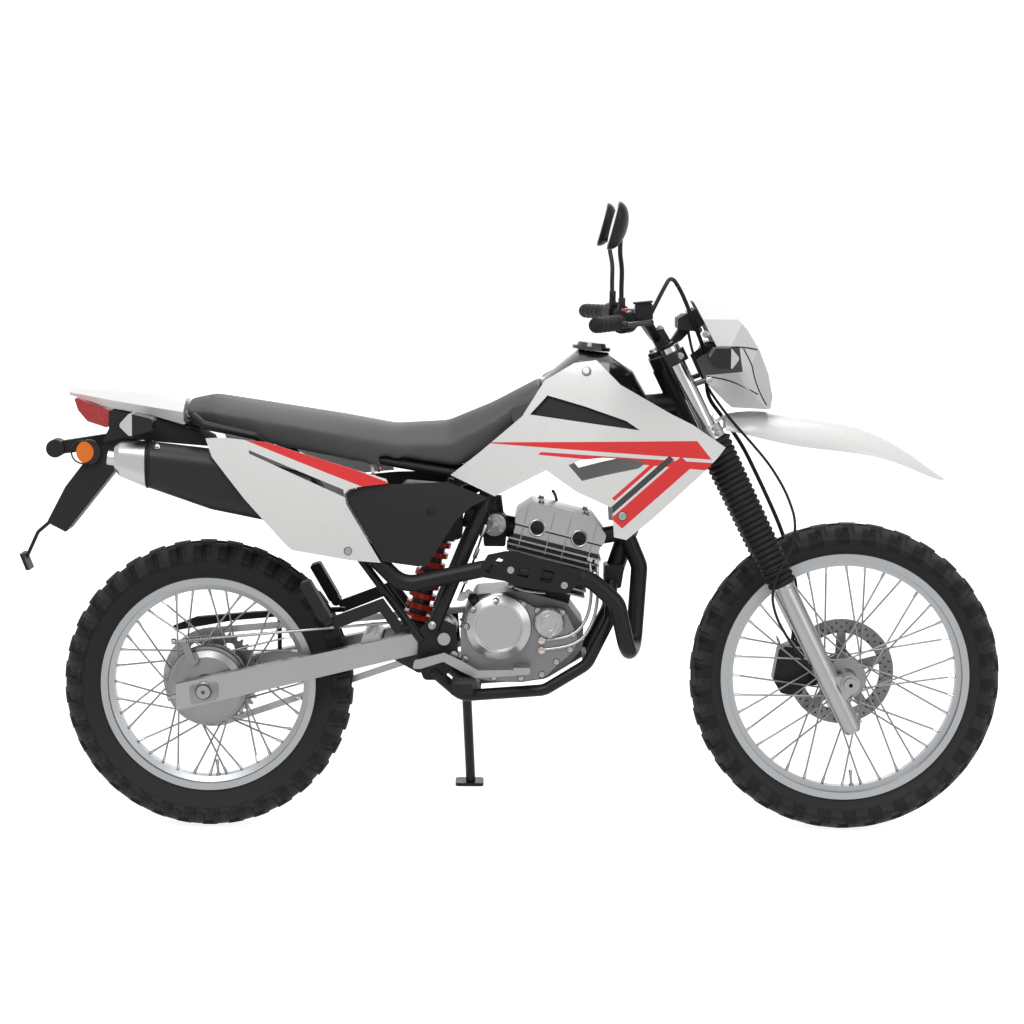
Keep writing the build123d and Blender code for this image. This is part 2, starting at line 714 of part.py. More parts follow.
def front_axle():
    """The hollow front axle, its nut and the collars beside the hub."""
    bar = across(WHEELBASE, FRONT_AXLE.Z, -LEG_Y - 26, LEG_Y + 26, AXLE_R)
    nut = across(WHEELBASE, FRONT_AXLE.Z, -LEG_Y - 34, -LEG_Y - 24 - BODY_GAP, 15.0)
    collar_right = across(WHEELBASE, FRONT_AXLE.Z, -LEG_Y + 22 + BODY_GAP, -56 - BODY_GAP, 14.0)
    collar_left = across(WHEELBASE, FRONT_AXLE.Z, DISC_Y + BODY_GAP, LEG_Y - 22 - BODY_GAP, 14.0)
    axle = joined(bar, nut, collar_right, collar_left)
    return cut(axle, across(WHEELBASE, FRONT_AXLE.Z, -200, 200, AXLE_BORE_R))


HOSE_R = 4.5
CABLE_R = 3.0
BRAKE_HOSE_ROUTE = (
    (972, -226, 1166), (1000, -188, 1218), (1020, -134, 1246), (1046, -92, 1208), (1074, -75, 1142),
    (1100, -48, 1080), (1106, -12, 1018), (1116, 32, 968), (1150, 58, 926), (1196, 60, 862), (1242, 61, 770),
    (1284, 60, 680), (1314, 58, 590), (1326, 57, 510), (1316, 62, 408),
)
CABLE_ROUTE = (
    (1062, -40, 1130), (1074, -60, 1070), (1104, -66, 1002), (1152, -63, 936), (1203, -66, 880),
    (1246, -76, 830), (1282, -92, 770), (1302, -109, 710), (1294, -126, 654), (1264, -137, 604),
    (1248, -129, 548), (1262, -112, 494), (1296, -104, 436), (1334, -100, 386), (1384, -95, 352),
)


def route_radii(points):
    """The largest arc that each corner's two runs allow."""
    corners = [Vector(*point) for point in points]
    radii = []
    for before, corner, after in zip(corners, corners[1:], corners[2:]):
        turn = math.radians((corner - before).get_angle(after - corner))
        run = min((corner - before).length, (after - corner).length)
        radii.append(0.45 * run / math.tan(turn / 2))
    return radii


def brake_hose(controls, caliper_body):
    """The front brake's hose, from its lever's cylinder down ahead of the left leg to the caliper."""
    return cut(tube(BRAKE_HOSE_ROUTE, HOSE_R, route_radii(BRAKE_HOSE_ROUTE)), controls, caliper_body)


def meter_cable(dial, slider_body):
    """The speedometer's cable, from the dial's box past the right gaiter to the slider's foot."""
    return cut(tube(CABLE_ROUTE, CABLE_R, route_radii(CABLE_ROUTE)), dial, slider_body)


# Frame, on the chassis

STEER_TOP_S = UPPER_CLAMP_S - BODY_GAP
STEER_LOW_S = LOWER_CLAMP_S + LOWER_CLAMP_H + BODY_GAP


def steering_bar(radius, s_low=0.0, s_high=1000.0):
    """A round bar on the steering axis."""
    return rod(fork_point(s_low, -CLAMP_OFFSET), fork_point(s_high, -CLAMP_OFFSET), radius)


SPINE_POINTS = ((1048, 0, 962), (880, 0, 946), (720, 0, 880), (634, 0, 800))
DOWNTUBE_POINTS = ((1066, 0, 920), (990, 0, 800), (926, 0, 640), (902, 0, 566))


def frame_main():
    """The steering head, the spine behind it and the single tube in front of the engine."""
    head = steering_bar(HEAD_TUBE_R, STEER_LOW_S, STEER_TOP_S)
    spine = tube(SPINE_POINTS, SPINE_R, 120.0)
    cross = across(SPINE_POINTS[-1][0], SPINE_POINTS[-1][2], -64, 64, 19.0)
    gusset = side_plate([(1040, 950), (940, 946), (1016, 846), (1056, 905)], -5, 5)
    down = tube(DOWNTUBE_POINTS, DOWNTUBE_R, 160.0)
    foot = side_plate([(884, 600), (930, 600), (922, 548), (884, 548)], -34, 34, 6.0)
    shape = joined(head, spine, cross, gusset, down, foot)
    return cut(shape, steering_bar(STEM_R + RUN_FIT), steering_bar(62.0, LOWER_CLAMP_S - 60, STEER_LOW_S))


def cradle_rail(side):
    """One lower rail, from the downtube's foot round under the engine to the pivot plate."""
    y = side * RAIL_Y
    points = [(902, side * 35, 562), (896, y * 0.84, 486), (846, y, 388), (752, y, 330), (570, y, 316), (505, y, 372)]
    return tube(points, RAIL_R, 44.0)


def pivot_plate(side):
    """The plate that carries the swing arm's pivot and joins rail and upright."""
    points = [(474, 462), (510, 496), (556, 474), (562, 402), (528, 352), (486, 352), (470, 392)]
    return side_plate(points, side * 101, side * 113, 10.0)


def frame_cradle(main_frame):
    """The rails, pivot plates, uprights, cross tubes and the side stand's lug."""
    halves = []
    for side in (RIGHT, LEFT):
        rail = cradle_rail(side)
        plate = pivot_plate(side)
        upright = tube([(634, side * 64.3, 800), (616, side * 92, 735), (505, side * 113, 466)], UPRIGHT_R, 60.0)
        half = joined(rail, plate, upright)
        half = cut(half, across(PIVOT_X, PIVOT_Z, -200, 200, AXLE_R + RUN_FIT))
        halves.append(half)
    cross_low = across(600, 316, -RAIL_Y, RAIL_Y, 11.0)
    cross_front = across(846, 388, -RAIL_Y, RAIL_Y, 9.0)
    shape = joined(halves[0], halves[1], cross_low, cross_front, Rot(X=LEAN_DEG) * stand_bracket())
    return cut(shape, main_frame)


def subframe(main_frame, cradle):
    """The rails under the seat and the stays that hold them up."""
    shape = None
    for side in (RIGHT, LEFT):
        rail = tube([(634, side * 50, 800), (560, side * 78, 806), (330, side * 88, 846), (150, side * 78, 880), (-40, side * 70, 918)], SUB_R, 40.0)
        stay = tube([(160, side * 64, 878), (272, side * 64, 722), (346, side * 98, 618), (480, side * 112, 440)], SUB_R - 1, 50.0)
        half = joined(rail, stay)
        shape = half if shape is None else joined(shape, half)
    for x, z, half in ((330, 846, 88), (0, 909, 72)):
        shape = joined(shape, across(x, z, -half, half, 8.0))
    return cut(shape, cradle, main_frame)


def swing_arm():
    """The swing arm: two box beams, the pivot tube and the cross beam ahead of the tyre."""
    beams = []
    for side in (RIGHT, LEFT):
        wires = []
        for x, y, z, height in ((-62, ARM_Y, 310, ARM_H), (60, ARM_Y, 338, ARM_H), (PIVOT_X + 8, ARM_Y - 20, PIVOT_Z + 1, 46)):
            wires.append(outline([
                (x, side * (y - ARM_W / 2), z - height / 2),
                (x, side * (y + ARM_W / 2), z - height / 2),
                (x, side * (y + ARM_W / 2), z + height / 2),
                (x, side * (y - ARM_W / 2), z + height / 2),
            ]))
        beams.append(Solid.make_loft(wires, ruled=True))
    pivot = across(PIVOT_X, PIVOT_Z, -99, 99, 26.0)
    cross = across(368, 428, -86, 86, 23.0)
    arm = joined(beams[0], beams[1], pivot, cross)
    arm = cut(arm, across(PIVOT_X, PIVOT_Z, -200, 200, AXLE_R + RUN_FIT))
    return cut(arm, across(0, REAR_TYRE_R, -200, 200, AXLE_R + RUN_FIT))


def pivot_bolt():
    """The long bolt through the swing arm's pivot."""
    bar = across(PIVOT_X, PIVOT_Z, -118, 118, AXLE_R)
    heads = [across(PIVOT_X, PIVOT_Z, side * (113 + BODY_GAP), side * 123, 14.0) for side in (RIGHT, LEFT)]
    return joined(bar, *heads)


def rear_axle():
    """The hollow rear axle with its nuts and the left collar."""
    bar = across(0, REAR_TYRE_R, -126, 126, AXLE_R)
    nuts = [across(0, REAR_TYRE_R, side * (115 + BODY_GAP), side * 130, 15.0) for side in (RIGHT, LEFT)]
    collar = across(0, REAR_TYRE_R, 66 + BODY_GAP, 85 - BODY_GAP, 14.0)
    axle = joined(bar, collar, *nuts)
    return cut(axle, across(0, REAR_TYRE_R, -200, 200, AXLE_BORE_R))


def rear_hub():
    """The rear hub with its brake drum on the right and the sprocket's seat on the left."""
    points = [
        (-43, AXLE_R + RUN_FIT), (-43, 88), (-38, 91), (-32, 91), (-26, 62), (26, 52), (32, 82), (38, 82),
        (41, 56), (41, 24), (66, 20), (66, AXLE_R + RUN_FIT),
    ]
    body = turned(points, REAR_AXLE)
    well_r = REAR_BEAD_R - RIM_WELL_DEPTH - RIM_WALL
    return joined(body, *spokes(82.0, 35.0, well_r, REAR_AXLE, 38.0))


def brake_panel():
    """The fixed panel of the rear drum brake, its lever and its rod."""
    points = [
        (-43 - BODY_GAP, AXLE_R + RUN_FIT), (-43 - BODY_GAP, 80), (-50, 80), (-56, 66), (-62, 30), (-84, 20),
        (-84, AXLE_R + RUN_FIT),
    ]
    panel_disc = turned(points, REAR_AXLE)
    boss = across(-30, 388, -70, -50, 13.0)
    lever = side_plate([(-40, 384), (-22, 384), (-44, 436), (-58, 432)], -76, -70, 3.0)
    return joined(panel_disc, boss, lever)


def linkage(arm):
    """The rocker under the shock absorber and the links that tie it to the swing arm."""
    rocker = side_plate([(398, 392), (470, 352), (520, 360), (524, 380), (450, 408), (420, 412)], -22, 22, 6.0)
    pin = cut(across(424, 402, -90, 90, 7.0), arm)
    middle = min(pin.solids(), key=lambda solid: abs(solid.center().Y))
    return cut(joined(rocker, middle), arm)


COIL_TURNS = 8
COIL_WIRE_R = 6.0
COIL_CORE_R = 21.0


def shock(rocker, main_frame):
    """The rear shock absorber in its spring."""
    low = Vector(445, 0, 404)
    high = Vector(552, 0, 786)
    way = (high - low).normalized()
    body = rod(low, high, 17.0)
    collar_low = rod(low + way * 56, low + way * 66, 32.0)
    collar_high = rod(low + way * 262, low + way * 280, 36.0)
    core = rod(low + way * 66, low + way * 262, COIL_CORE_R)
    turns = []
    for index in range(COIL_TURNS):
        middle = low + way * (66 + (index + 0.5) * 196 / COIL_TURNS)
        turns.append(rod(middle - way * COIL_WIRE_R, middle + way * COIL_WIRE_R, 31.0))
    strut = rod(high - way * 6, Vector(SPINE_POINTS[-1][0], 0, SPINE_POINTS[-1][2]), 12.0)
    return cut(joined(body, collar_low, core, *turns, collar_high, strut), rocker, main_frame)


# Engine

CASE_OUTLINE = (
    (566, 470), (580, 512), (600, 540), (700, 548), (800, 522), (838, 470), (836, 420), (800, 380), (752, 352),
    (704, 344), (634, 344), (590, 352), (570, 392),
)
COVER_OUTLINE = (
    (566, 462), (582, 506), (600, 528), (649, 541), (704, 530), (728, 515), (795, 512), (824, 452), (818, 420),
    (784, 390), (753, 360), (705, 350), (634, 351), (590, 359), (568, 394),
)


def crankcase():
    """The engine's lower castings as one block."""
    block = side_plate(CASE_OUTLINE, -CASE_HALF_W, CASE_HALF_W, 12.0)
    pocket = side_plate([(540, 380), (650, 380), (650, 530), (540, 530)], CHAIN_Y - 14, CASE_HALF_W + 1)
    return cut(block, pocket)


def clutch_cover():
    """The right cover: a cast skirt, the big round clutch cap and the small filter cap."""
    skirt = side_plate(COVER_OUTLINE, -CASE_HALF_W, -CASE_HALF_W - 26, 12.0)
    cap = turned([(-CASE_HALF_W - 20, 0), (-CASE_HALF_W - 20, CLUTCH_R + 3), (-COVER_OUT_Y + 8, CLUTCH_R),
                  (-COVER_OUT_Y, CLUTCH_R - 16), (-COVER_OUT_Y + 2, CLUTCH_R - 22), (-COVER_OUT_Y + 2, 0)],
                 Vector(CLUTCH_X, 0, CLUTCH_Z))
    small = turned([(-CASE_HALF_W - 20, 0), (-CASE_HALF_W - 20, 36), (-COVER_OUT_Y + 12, 34),
                    (-COVER_OUT_Y + 8, 30), (-COVER_OUT_Y + 8, 0)], Vector(761, 0, 482))
    return joined(skirt, cap, small)


def generator_cover():
    """The left cover with its round generator cap and the sprocket's guard."""
    skirt = side_plate(COVER_OUTLINE, CASE_HALF_W, CASE_HALF_W + 18, 12.0)
    cap = turned([(CASE_HALF_W + 12, 0), (CASE_HALF_W + 12, 68), (CASE_HALF_W + 34, 62), (CASE_HALF_W + 40, 50),
                  (CASE_HALF_W + 40, 0)], Vector(716, 0, 446))
    return joined(skirt, cap)


def on_cylinder(along, across_x, y=0.0):
    """A point on the tilted cylinder: along it from its foot, and ahead of its axis."""
    foot = Vector(742, y, 520)
    return foot + Vector(math.sin(TILT), 0, math.cos(TILT)) * along + Vector(math.cos(TILT), 0, -math.sin(TILT)) * across_x


def cylinder_slab(along_a, along_b, rear, front, half):
    """A block square to the cylinder's axis."""
    corners = [on_cylinder(along_a, rear), on_cylinder(along_a, front), on_cylinder(along_b, front), on_cylinder(along_b, rear)]
    return side_plate([(p.X, p.Z) for p in corners], -half, half)


def cylinder(case):
    """The finned barrel between the crankcase and the head."""
    core = cylinder_slab(-20, 92, -62, 62, 60)
    fins = [cylinder_slab(34 + 13 * i, 38 + 13 * i, -92, 92, 78) for i in range(5)]
    return cut(joined(core, *fins), case)


def cylinder_head():
    """The head: three fins, the cast head and the domed cam cover with its plugs."""
    core = cylinder_slab(92, 156, -96, 98, 70)
    fins = [cylinder_slab(97 + 13 * i, 101 + 13 * i, -102, 106, 80) for i in range(3)]
    corners = [on_cylinder(156, -100), on_cylinder(156, 104), on_cylinder(182, 104), on_cylinder(214, 66), on_cylinder(214, -70), on_cylinder(182, -100)]
    cover = side_plate([(p.X, p.Z) for p in corners], -74, 74, 10.0)
    shape = joined(core, cover, *fins)
    for ahead in (-48, 48):
        centre = on_cylinder(160, ahead)
        shape = cut(shape, across(centre.X, centre.Z, -90, -66, 15.0), across(centre.X, centre.Z, 66, 90, 15.0))
    return shape


def carburettor():
    """The carburettor with its float bowl and the rubber sleeves on each side of it."""
    body = across(640, 688, -34, 34, 30.0)
    bowl = side_plate([(616, 640), (664, 640), (668, 690), (612, 690)], -30, 30, 5.0)
    cap = rod((634, 0, 700), (628, 0, 748), 27.0)
    intake = rod((640, 0, 688), (702, 0, 676), 24.0)
    boot = rod((640, 0, 688), (572, 0, 708), 27.0)
    return joined(body, bowl, cap, intake, boot)


def airbox():
    """The air filter's box behind the carburettor, under the seat."""
    box = side_plate([(568, 660), (568, 770), (440, 780), (400, 740), (420, 690), (500, 650)], -62, 62, 12.0)
    return cut(box, rod((445, 0, 404), (552, 0, 786), 40.0))


def pipe_shape(radius):
    """The header and mid pipe as one tube."""
    points = [
        (868, -34, 664), (930, -40, 676), (962, -48, 600), (950, -58, 424), (934, -PIPE_Y, 420),
        (910, -PIPE_Y, 530), (850, -PIPE_Y, 584), (620, -PIPE_Y, 606), (440, -140, 566), (300, -126, 700),
    ]
    return tube(points, radius, [26, 40, 34, 34, 40, 60, 60, 60])


def exhaust_pipe(head):
    """The black header, its loop in front of the engine and the pipe to the silencer."""
    return cut(pipe_shape(PIPE_R), head)


SHIELD_OUTLINE = ((599, 592), (626, 639), (664, 647), (688, 647), (828, 605), (820, 574), (801, 554), (696, 569), (665, 581))


def heat_shield():
    """The pressed shield on the pipe, with its long slot and two square windows."""
    plate = side_plate(SHIELD_OUTLINE, -PIPE_Y - PIPE_R - 1, -PIPE_Y - PIPE_R - 6, 8.0)
    windows = (
        [(628, 598), (660, 628), (650, 632), (620, 604)],
        [(690, 594), (714, 588), (720, 614), (698, 620)],
        [(738, 582), (764, 576), (772, 602), (748, 608)],
    )
    for window in windows:
        plate = cut(plate, side_plate(window, -PIPE_Y - 60, -PIPE_Y))
    return plate


MUFFLER_ROWS = (
    # x, centre z, half height, half width
    (-120, 828, 50, 44),
    (20, 796, 66, 45),
    (240, 746, 60, 44),
    (285, 728, 30, 30),
)
MUFFLER_Y = 118.0


def muffler_section(x, z, half_height, half_width, inset=0.0):
    """A rounded section of the silencer."""
    height = (half_height - inset) * 2
    width = (half_width - inset) * 2
    corner = min(height, width) * 0.42
    return (Plane(origin=(x, -MUFFLER_Y, z), x_dir=(0, 1, 0), z_dir=(1, 0, 0)) * RectangleRounded(width, height, corner)).wire()


def muffler(pipe):
    """The silencer can."""
    can = Solid.make_loft([muffler_section(*row) for row in MUFFLER_ROWS], ruled=True)
    return cut(can, pipe)


def muffler_end():
    """The bright end cone of the silencer with its outlet."""
    rows = ((-120 - BODY_GAP, 828, 51, 45), (-178, 838, 38, 34), (-190, 840, 26, 24))
    cone = Solid.make_loft([muffler_section(*row) for row in rows], ruled=True)
    outlet = rod((-150, -MUFFLER_Y, 834), (-206, -MUFFLER_Y, 842), 16.0)
    bore = rod((-160, -MUFFLER_Y, 836), (-220, -MUFFLER_Y, 844), 13.0)
    return cut(joined(cone, outlet), bore)


# Body

TANK_ROWS = (
    # x, half width low, z low, half width side, z side, top z
    (628, 60, 862, 66, 930, 958),
    (748, 92, 866, 108, 980, 1018),
    (823, 100, 876, 116, 1010, 1080),
    (890, 92, 890, 104, 1000, 1072),
    (944, 56, 905, 62, 985, 1034),
    (972, 36, 920, 40, 960, 985),
)


def fuel_tank():
    """The fuel tank, open below over the spine."""
    tank = Solid.make_loft([dome_face(*row) for row in TANK_ROWS], ruled=True)
    tunnel = tube(SPINE_POINTS, SPINE_R + 3, 120.0)
    below = side_plate([(x, z) for x, z in ((600, 830), (720, 884), (880, 946), (1048, 962), (1048, 800), (600, 760))], -27, 27)
    tank = cut(tank, tunnel, below, seat())
    return max(tank.solids(), key=lambda item: item.volume)


CAP_PLANE = Plane(origin=(852, 0, 1078), x_dir=(1, 0, -0.1), z_dir=(0.1, 0, 1))


def fuel_cap():
    """The round fuel cap on its ring."""
    ring = CAP_PLANE * Solid.make_cylinder(43.0, 8.0)
    lid = CAP_PLANE * Pos(0, 0, 7) * Solid.make_cone(34.0, 30.0, 9.0)
    return joined(ring, lid)


SHROUD_STATIONS = (520, 820, 1160)
SHROUD_ROWS = (
    # z, y at the three stations
    (650, 112, 166, 164),
    (860, 106, 152, 170),
    (1000, 96, 130, 162),
    (1100, 72, 100, 150),
)
SHROUD_OUTLINE = (
    (747, 1015), (812, 1054), (860, 1061), (895, 1026), (913, 1008), (1022, 947), (1069, 924), (1140, 876),
    (1124, 854), (1092, 820), (983, 719), (927, 673), (900, 679), (896, 742), (818, 776), (752, 822), (640, 763),
    (543, 807), (604, 856), (699, 938),
)
SHROUD_WINDOW = ((754, 984), (716, 942), (875, 921), (955, 911), (925, 931), (836, 961))
SHROUD_SCOOP = ((800, 834), (829, 846), (876, 851), (938, 849), (968, 841), (953, 829), (876, 812), (830, 800))


def shroud(side):
    """A side shroud: blade, window, scoop and lower wing in one moulding."""
    slab = panel_slab(SHROUD_STATIONS, SHROUD_ROWS, PANEL_WALL, side)
    return panel(SHROUD_OUTLINE, slab, side, (SHROUD_WINDOW, SHROUD_SCOOP))


SHROUD_BOLTS = ((839, 1036), (918, 725))
BACKING_BOSSES = ((845, 983), (800, 917), (900, 909))


def seated_shroud(side, backing, tank, main_frame):
    """A shroud on its posts: one to the tank, one to the downtube, and bosses to its dark backing."""
    shape = shroud(side)
    carriers = (tank, main_frame)
    posts = []
    for (x, z), carrier in zip(SHROUD_BOLTS, carriers):
        start = wall_at(shape, x, z, side)
        posts.append(foot_on(carrier, start, Vector(x, 0, z), 6.0))
    for x, z in BACKING_BOSSES:
        start = wall_at(shape, x, z, side)
        posts.append(foot_on(backing, start, Vector(x, start.Y - side * 20, z), 6.0))
    return joined(shape, *posts)


def shroud_backing(side):
    """The dark panel behind the shroud's window."""
    rows = [(z, a - 10, b - 10, c - 10) for z, a, b, c in SHROUD_ROWS]
    slab = panel_slab(SHROUD_STATIONS, rows, 3.0, side)
    points = [(770, 1010), (690, 930), (740, 905), (980, 896), (990, 915), (930, 950), (850, 1000)]
    return panel(points, slab, side)


SEAT_ROWS = (
    # x, half width low, z low, half width side, z side, top z
    (-38, 84, 930, 88, 946, 964),
    (20, 100, 916, 108, 944, 976),
    (127, 116, 876, 124, 930, 960),
    (300, 112, 842, 120, 896, 934),
    (420, 98, 812, 104, 872, 913),
    (536, 86, 812, 92, 872, 920),
    (634, 84, 862, 88, 924, 961),
    (742, 76, 992, 70, 1004, 1018),
)
SEAT_HOLLOW = ((-60, 760), (-60, 932), (150, 893), (330, 860), (560, 822), (660, 822), (660, 760))


def seat():
    """The long seat as a plain solid."""
    block = Solid.make_loft([dome_face(*row) for row in SEAT_ROWS], ruled=True)
    return cut(block, side_plate(SEAT_HOLLOW, -99, 99))


SIDE_STATIONS = (-20, 200, 430)
SIDE_ROWS = ((600, 172, 180, 158), (760, 172, 182, 158), (900, 164, 168, 142))
SIDE_OUTLINE = (
    (13, 889), (53, 891), (148, 881), (404, 802), (409, 792), (343, 785), (324, 780), (314, 770), (319, 747),
    (393, 619), (329, 625), (201, 648), (187, 660), (97, 760), (27, 849),
)
SIDE_SLOT = ((107, 865), (312, 780), (315, 763), (108, 857))


def side_panel(side):
    """The white panel beside the rear wheel."""
    return panel(SIDE_OUTLINE, panel_slab(SIDE_STATIONS, SIDE_ROWS, PANEL_WALL, side), side, (SIDE_SLOT,))


PANEL_BOLT_TOP = (376, 797)
PANEL_BOLT_LOW = (320, 640)


def seated_panel(side, rails):
    """A side panel with the posts that hold it to the rear rails."""
    shape = side_panel(side)
    top = wall_at(shape, *PANEL_BOLT_TOP, side)
    low = wall_at(shape, *PANEL_BOLT_LOW, side)
    elbow = Vector(PANEL_BOLT_TOP[0], side * 89, PANEL_BOLT_TOP[1])
    return joined(
        shape,
        rod(top, elbow - Vector(0, side * 3, 0), 4.0),
        foot_on(rails, elbow - Vector(0, 0, 2), Vector(366, side * 87, 838), 4.0),
        foot_on(rails, low, Vector(330, side * 91, 640), 5.0),
    )


COVER_STATIONS = (300, 470, 640)
COVER_ROWS = ((600, 154, 148, 110), (720, 158, 152, 116), (830, 150, 140, 108))
SIDE_COVER_OUTLINE = (
    (326, 776), (345, 782), (412, 789), (537, 794), (626, 758), (589, 739), (556, 710), (523, 658), (495, 614),
    (476, 609), (396, 621), (322, 748), (318, 768),
)


def side_cover(side):
    """The dark cover between the side panel and the shroud."""
    return panel(SIDE_COVER_OUTLINE, panel_slab(COVER_STATIONS, COVER_ROWS, PANEL_WALL, side), side)


COVER_BOLT = (500, 730)


def seated_cover(side, box):
    """A side cover with the post that holds it to the airbox."""
    shape = side_cover(side)
    start = wall_at(shape, *COVER_BOLT, side)
    return joined(shape, foot_on(box, start, Vector(COVER_BOLT[0], 0, COVER_BOLT[1]), 8.0))


TAIL_ROWS = (
    # x, half width low, z low, half width side, z side, top z
    (-303, 26, 972, 28, 978, 986),
    (-206, 46, 944, 50, 962, 981),
    (-120, 66, 932, 74, 950, 975),
    (-44, 84, 912, 92, 940, 966),
)


def tail_cowl(rails):
    """The white tail behind the seat."""
    block = Solid.make_loft([dome_face(*row) for row in TAIL_ROWS], ruled=True)
    foot = foot_on(rails, Vector(-60, 0, 930), Vector(0, 0, 909), 7.0)
    return joined(block, foot)


def tail_light(cowl):
    """The red tail lamp under the tip of the tail."""
    lamp = side_plate([(-290, 970), (-212, 940), (-214, 901), (-260, 916), (-280, 940)], -56, 56, 4.0)
    return cut(lamp, cowl)


def rear_fender(lamp):
    """The black carrier under the tail that holds the lamp, the signals and the plate's stay."""
    body = side_plate([(-212, 900), (-212, 940), (-120, 928), (-44, 906), (10, 880), (20, 862), (-110, 872), (-180, 880), (-230, 868)], -60, 60, 4.0)
    arm = side_plate([(-200, 880), (-150, 872), (-312, 668), (-354, 690), (-312, 770), (-250, 850)], -46, 46, 4.0)
    stay = tube([(-320, 0, 716), (-382, 0, 663), (-409, 0, 604)], 4.0, 20.0)
    plate = side_plate([(-419, 616), (-411, 616), (-397, 580), (-405, 580)], -30, 30)
    lamp_body = across(-338, 852, -24, 24, 20.0)
    neck = side_plate([(-338, 838), (-338, 866), (-225, 884), (-225, 852)], -14, 14)
    return cut(joined(body, arm, stay, plate, lamp_body, neck), lamp)


def reflectors():
    """The round amber reflectors on the carrier's sides."""
    disc = across(-258, 848, 46.3, 60, 27.0)
    return both_sides(disc)


def rear_signals():
    """The rear turn signals on their stalks."""
    body = side_plate([(-176, 916), (-152, 942), (-100, 930), (-104, 904), (-152, 892)], 100, 168, 8.0)
    stalk = across(-134, 916, 60.3, 102, 9.0)
    return both_sides(joined(body, stalk))


def grab_rails(rails, cushion):
    """The passenger's grab rails beside the seat's tail."""
    rail = tube([(-20, 118, 934), (6, 134, 916), (120, 140, 892), (150, 126, 870)], 9.0, 16.0)
    ends = ((Vector(146, 129, 873), Vector(146, 78, 880)), (Vector(-12, 122, 926), Vector(-30, 70, 915)))
    feet = [cut(foot_on(rails, start, end, 6.0), cushion) for start, end in ends]
    return both_sides(joined(rail, *feet))


def rider_pegs():
    """The rider's pegs on their brackets."""
    peg = side_plate([(548, 338), (596, 338), (596, 362), (548, 362)], 132, 222, 4.0)
    arm = side_plate([(556, 336), (588, 336), (588, 352), (556, 352)], RAIL_Y + RAIL_R - 2, 134)
    return peg, arm


def pegs():
    """Both rider's pegs, cut to the rails that carry them."""
    peg, arm = rider_pegs()
    shape = joined(peg, arm)
    shape = cut(shape, cradle_rail(LEFT), pivot_plate(LEFT))
    return both_sides(max(shape.solids(), key=lambda item: item.volume))


def passenger_pegs(rails):
    """The passenger's pegs, folded up on their brackets."""
    bracket = side_plate([(280, 492), (396, 536), (436, 480), (440, 462), (424, 458), (390, 506), (290, 466)], 122, 132, 4.0)
    peg = side_plate([(214, 572), (238, 580), (284, 500), (262, 488)], 134, 176, 6.0)
    hinge = across(276, 492, 126, 172, 11.0)
    foot = foot_on(rails, Vector(432, 127, 468), Vector(457, 109.6, 470), 8.0)
    return both_sides(joined(bracket, peg, hinge, foot))


def brake_pedal():
    """The bright brake pedal on the right."""
    arm = side_plate([(462, 384), (466, 402), (532, 420), (570, 402), (606, 381), (716, 384), (718, 372), (600, 364), (566, 380), (530, 400), (480, 384)], -146, -155, 4.0)
    pad = side_plate([(684, 378), (720, 378), (720, 391), (684, 391)], -128, -176, 2.0)
    shaft = across(474, 392, -113.3, -146, 9.0)
    return joined(arm, pad, shaft)


def gear_lever():
    """The gear lever on the left."""
    arm = side_plate([(596, 396), (606, 412), (700, 420), (702, 408), (612, 396)], 130, 138, 3.0)
    shaft = across(604, 402, CASE_HALF_W + 18 + BODY_GAP, 131, 7.0)
    toe = across(700, 414, 132, 170, 8.0)
    return joined(arm, shaft, toe)


def chain_guard(arm):
    """The guard over the chain's upper run."""
    side_wall = side_plate([(-92, 440), (-36, 462), (93, 474), (300, 486), (300, 474), (150, 462), (43, 452), (-88, 428)], 84, 87)
    top = side_plate([(-36, 459), (93, 471), (300, 483), (300, 486), (93, 474), (-36, 462)], 67, 87)
    posts = [foot_on(arm, Vector(x, 88, z), Vector(x, 92, z - 90), 5.0) for x, z in ((150, 462), (270, 472))]
    return joined(side_wall, top, *posts)


def chain():
    """The chain as two bands of side plates round both sprockets."""
    bands = []
    rear_r = CHAIN_PITCH / (2 * math.sin(math.pi / REAR_TEETH))
    front_r = CHAIN_PITCH / (2 * math.sin(math.pi / FRONT_TEETH))
    rear = Vector(REAR_AXLE.X, 0, REAR_AXLE.Z)
    front = Vector(COUNTERSHAFT_X, 0, COUNTERSHAFT_Z)
    for y_a, y_b in ((CHAIN_Y - 8, CHAIN_Y - 4), (CHAIN_Y + 4, CHAIN_Y + 8)):
        bands.append(belt(rear, rear_r, front, front_r, 6.5, y_a, y_b))
    run = tangent_run(rear, rear_r, front, front_r)
    pins = []
    for start, end in run:
        count = int((end - start).length / CHAIN_PITCH)
        for index in range(3, count - 2, 2):
            point = start + (end - start) * (index / count)
            pins.append(across(point.X, point.Z, CHAIN_Y - 5, CHAIN_Y + 5, 4.5))
    return joined(bands[0], bands[1], *pins)


def tangent_run(rear, rear_r, front, front_r):
    """The chain's two straight runs between the pitch circles."""
    gap = front - rear
    angle = math.atan2(gap.Z, gap.X)
    spread = math.acos((rear_r - front_r) / gap.length)
    runs = []
    for turn in (1, -1):
        way = Vector(math.cos(angle + turn * spread), 0, math.sin(angle + turn * spread))
        runs.append((rear + way * rear_r, front + way * front_r))
    return runs


def belt_disc(rear, rear_r, front, front_r, y_a, y_b):
    """The solid shape of a belt filled in, round two circles."""
    (top_rear, top_front), (low_rear, low_front) = tangent_run(rear, rear_r, front, front_r)
    web = side_plate([(p.X, p.Z) for p in (top_rear, top_front, low_front, low_rear)], y_a, y_b)
    return joined(web, across(rear.X, rear.Z, y_a, y_b, rear_r), across(front.X, front.Z, y_a, y_b, front_r))


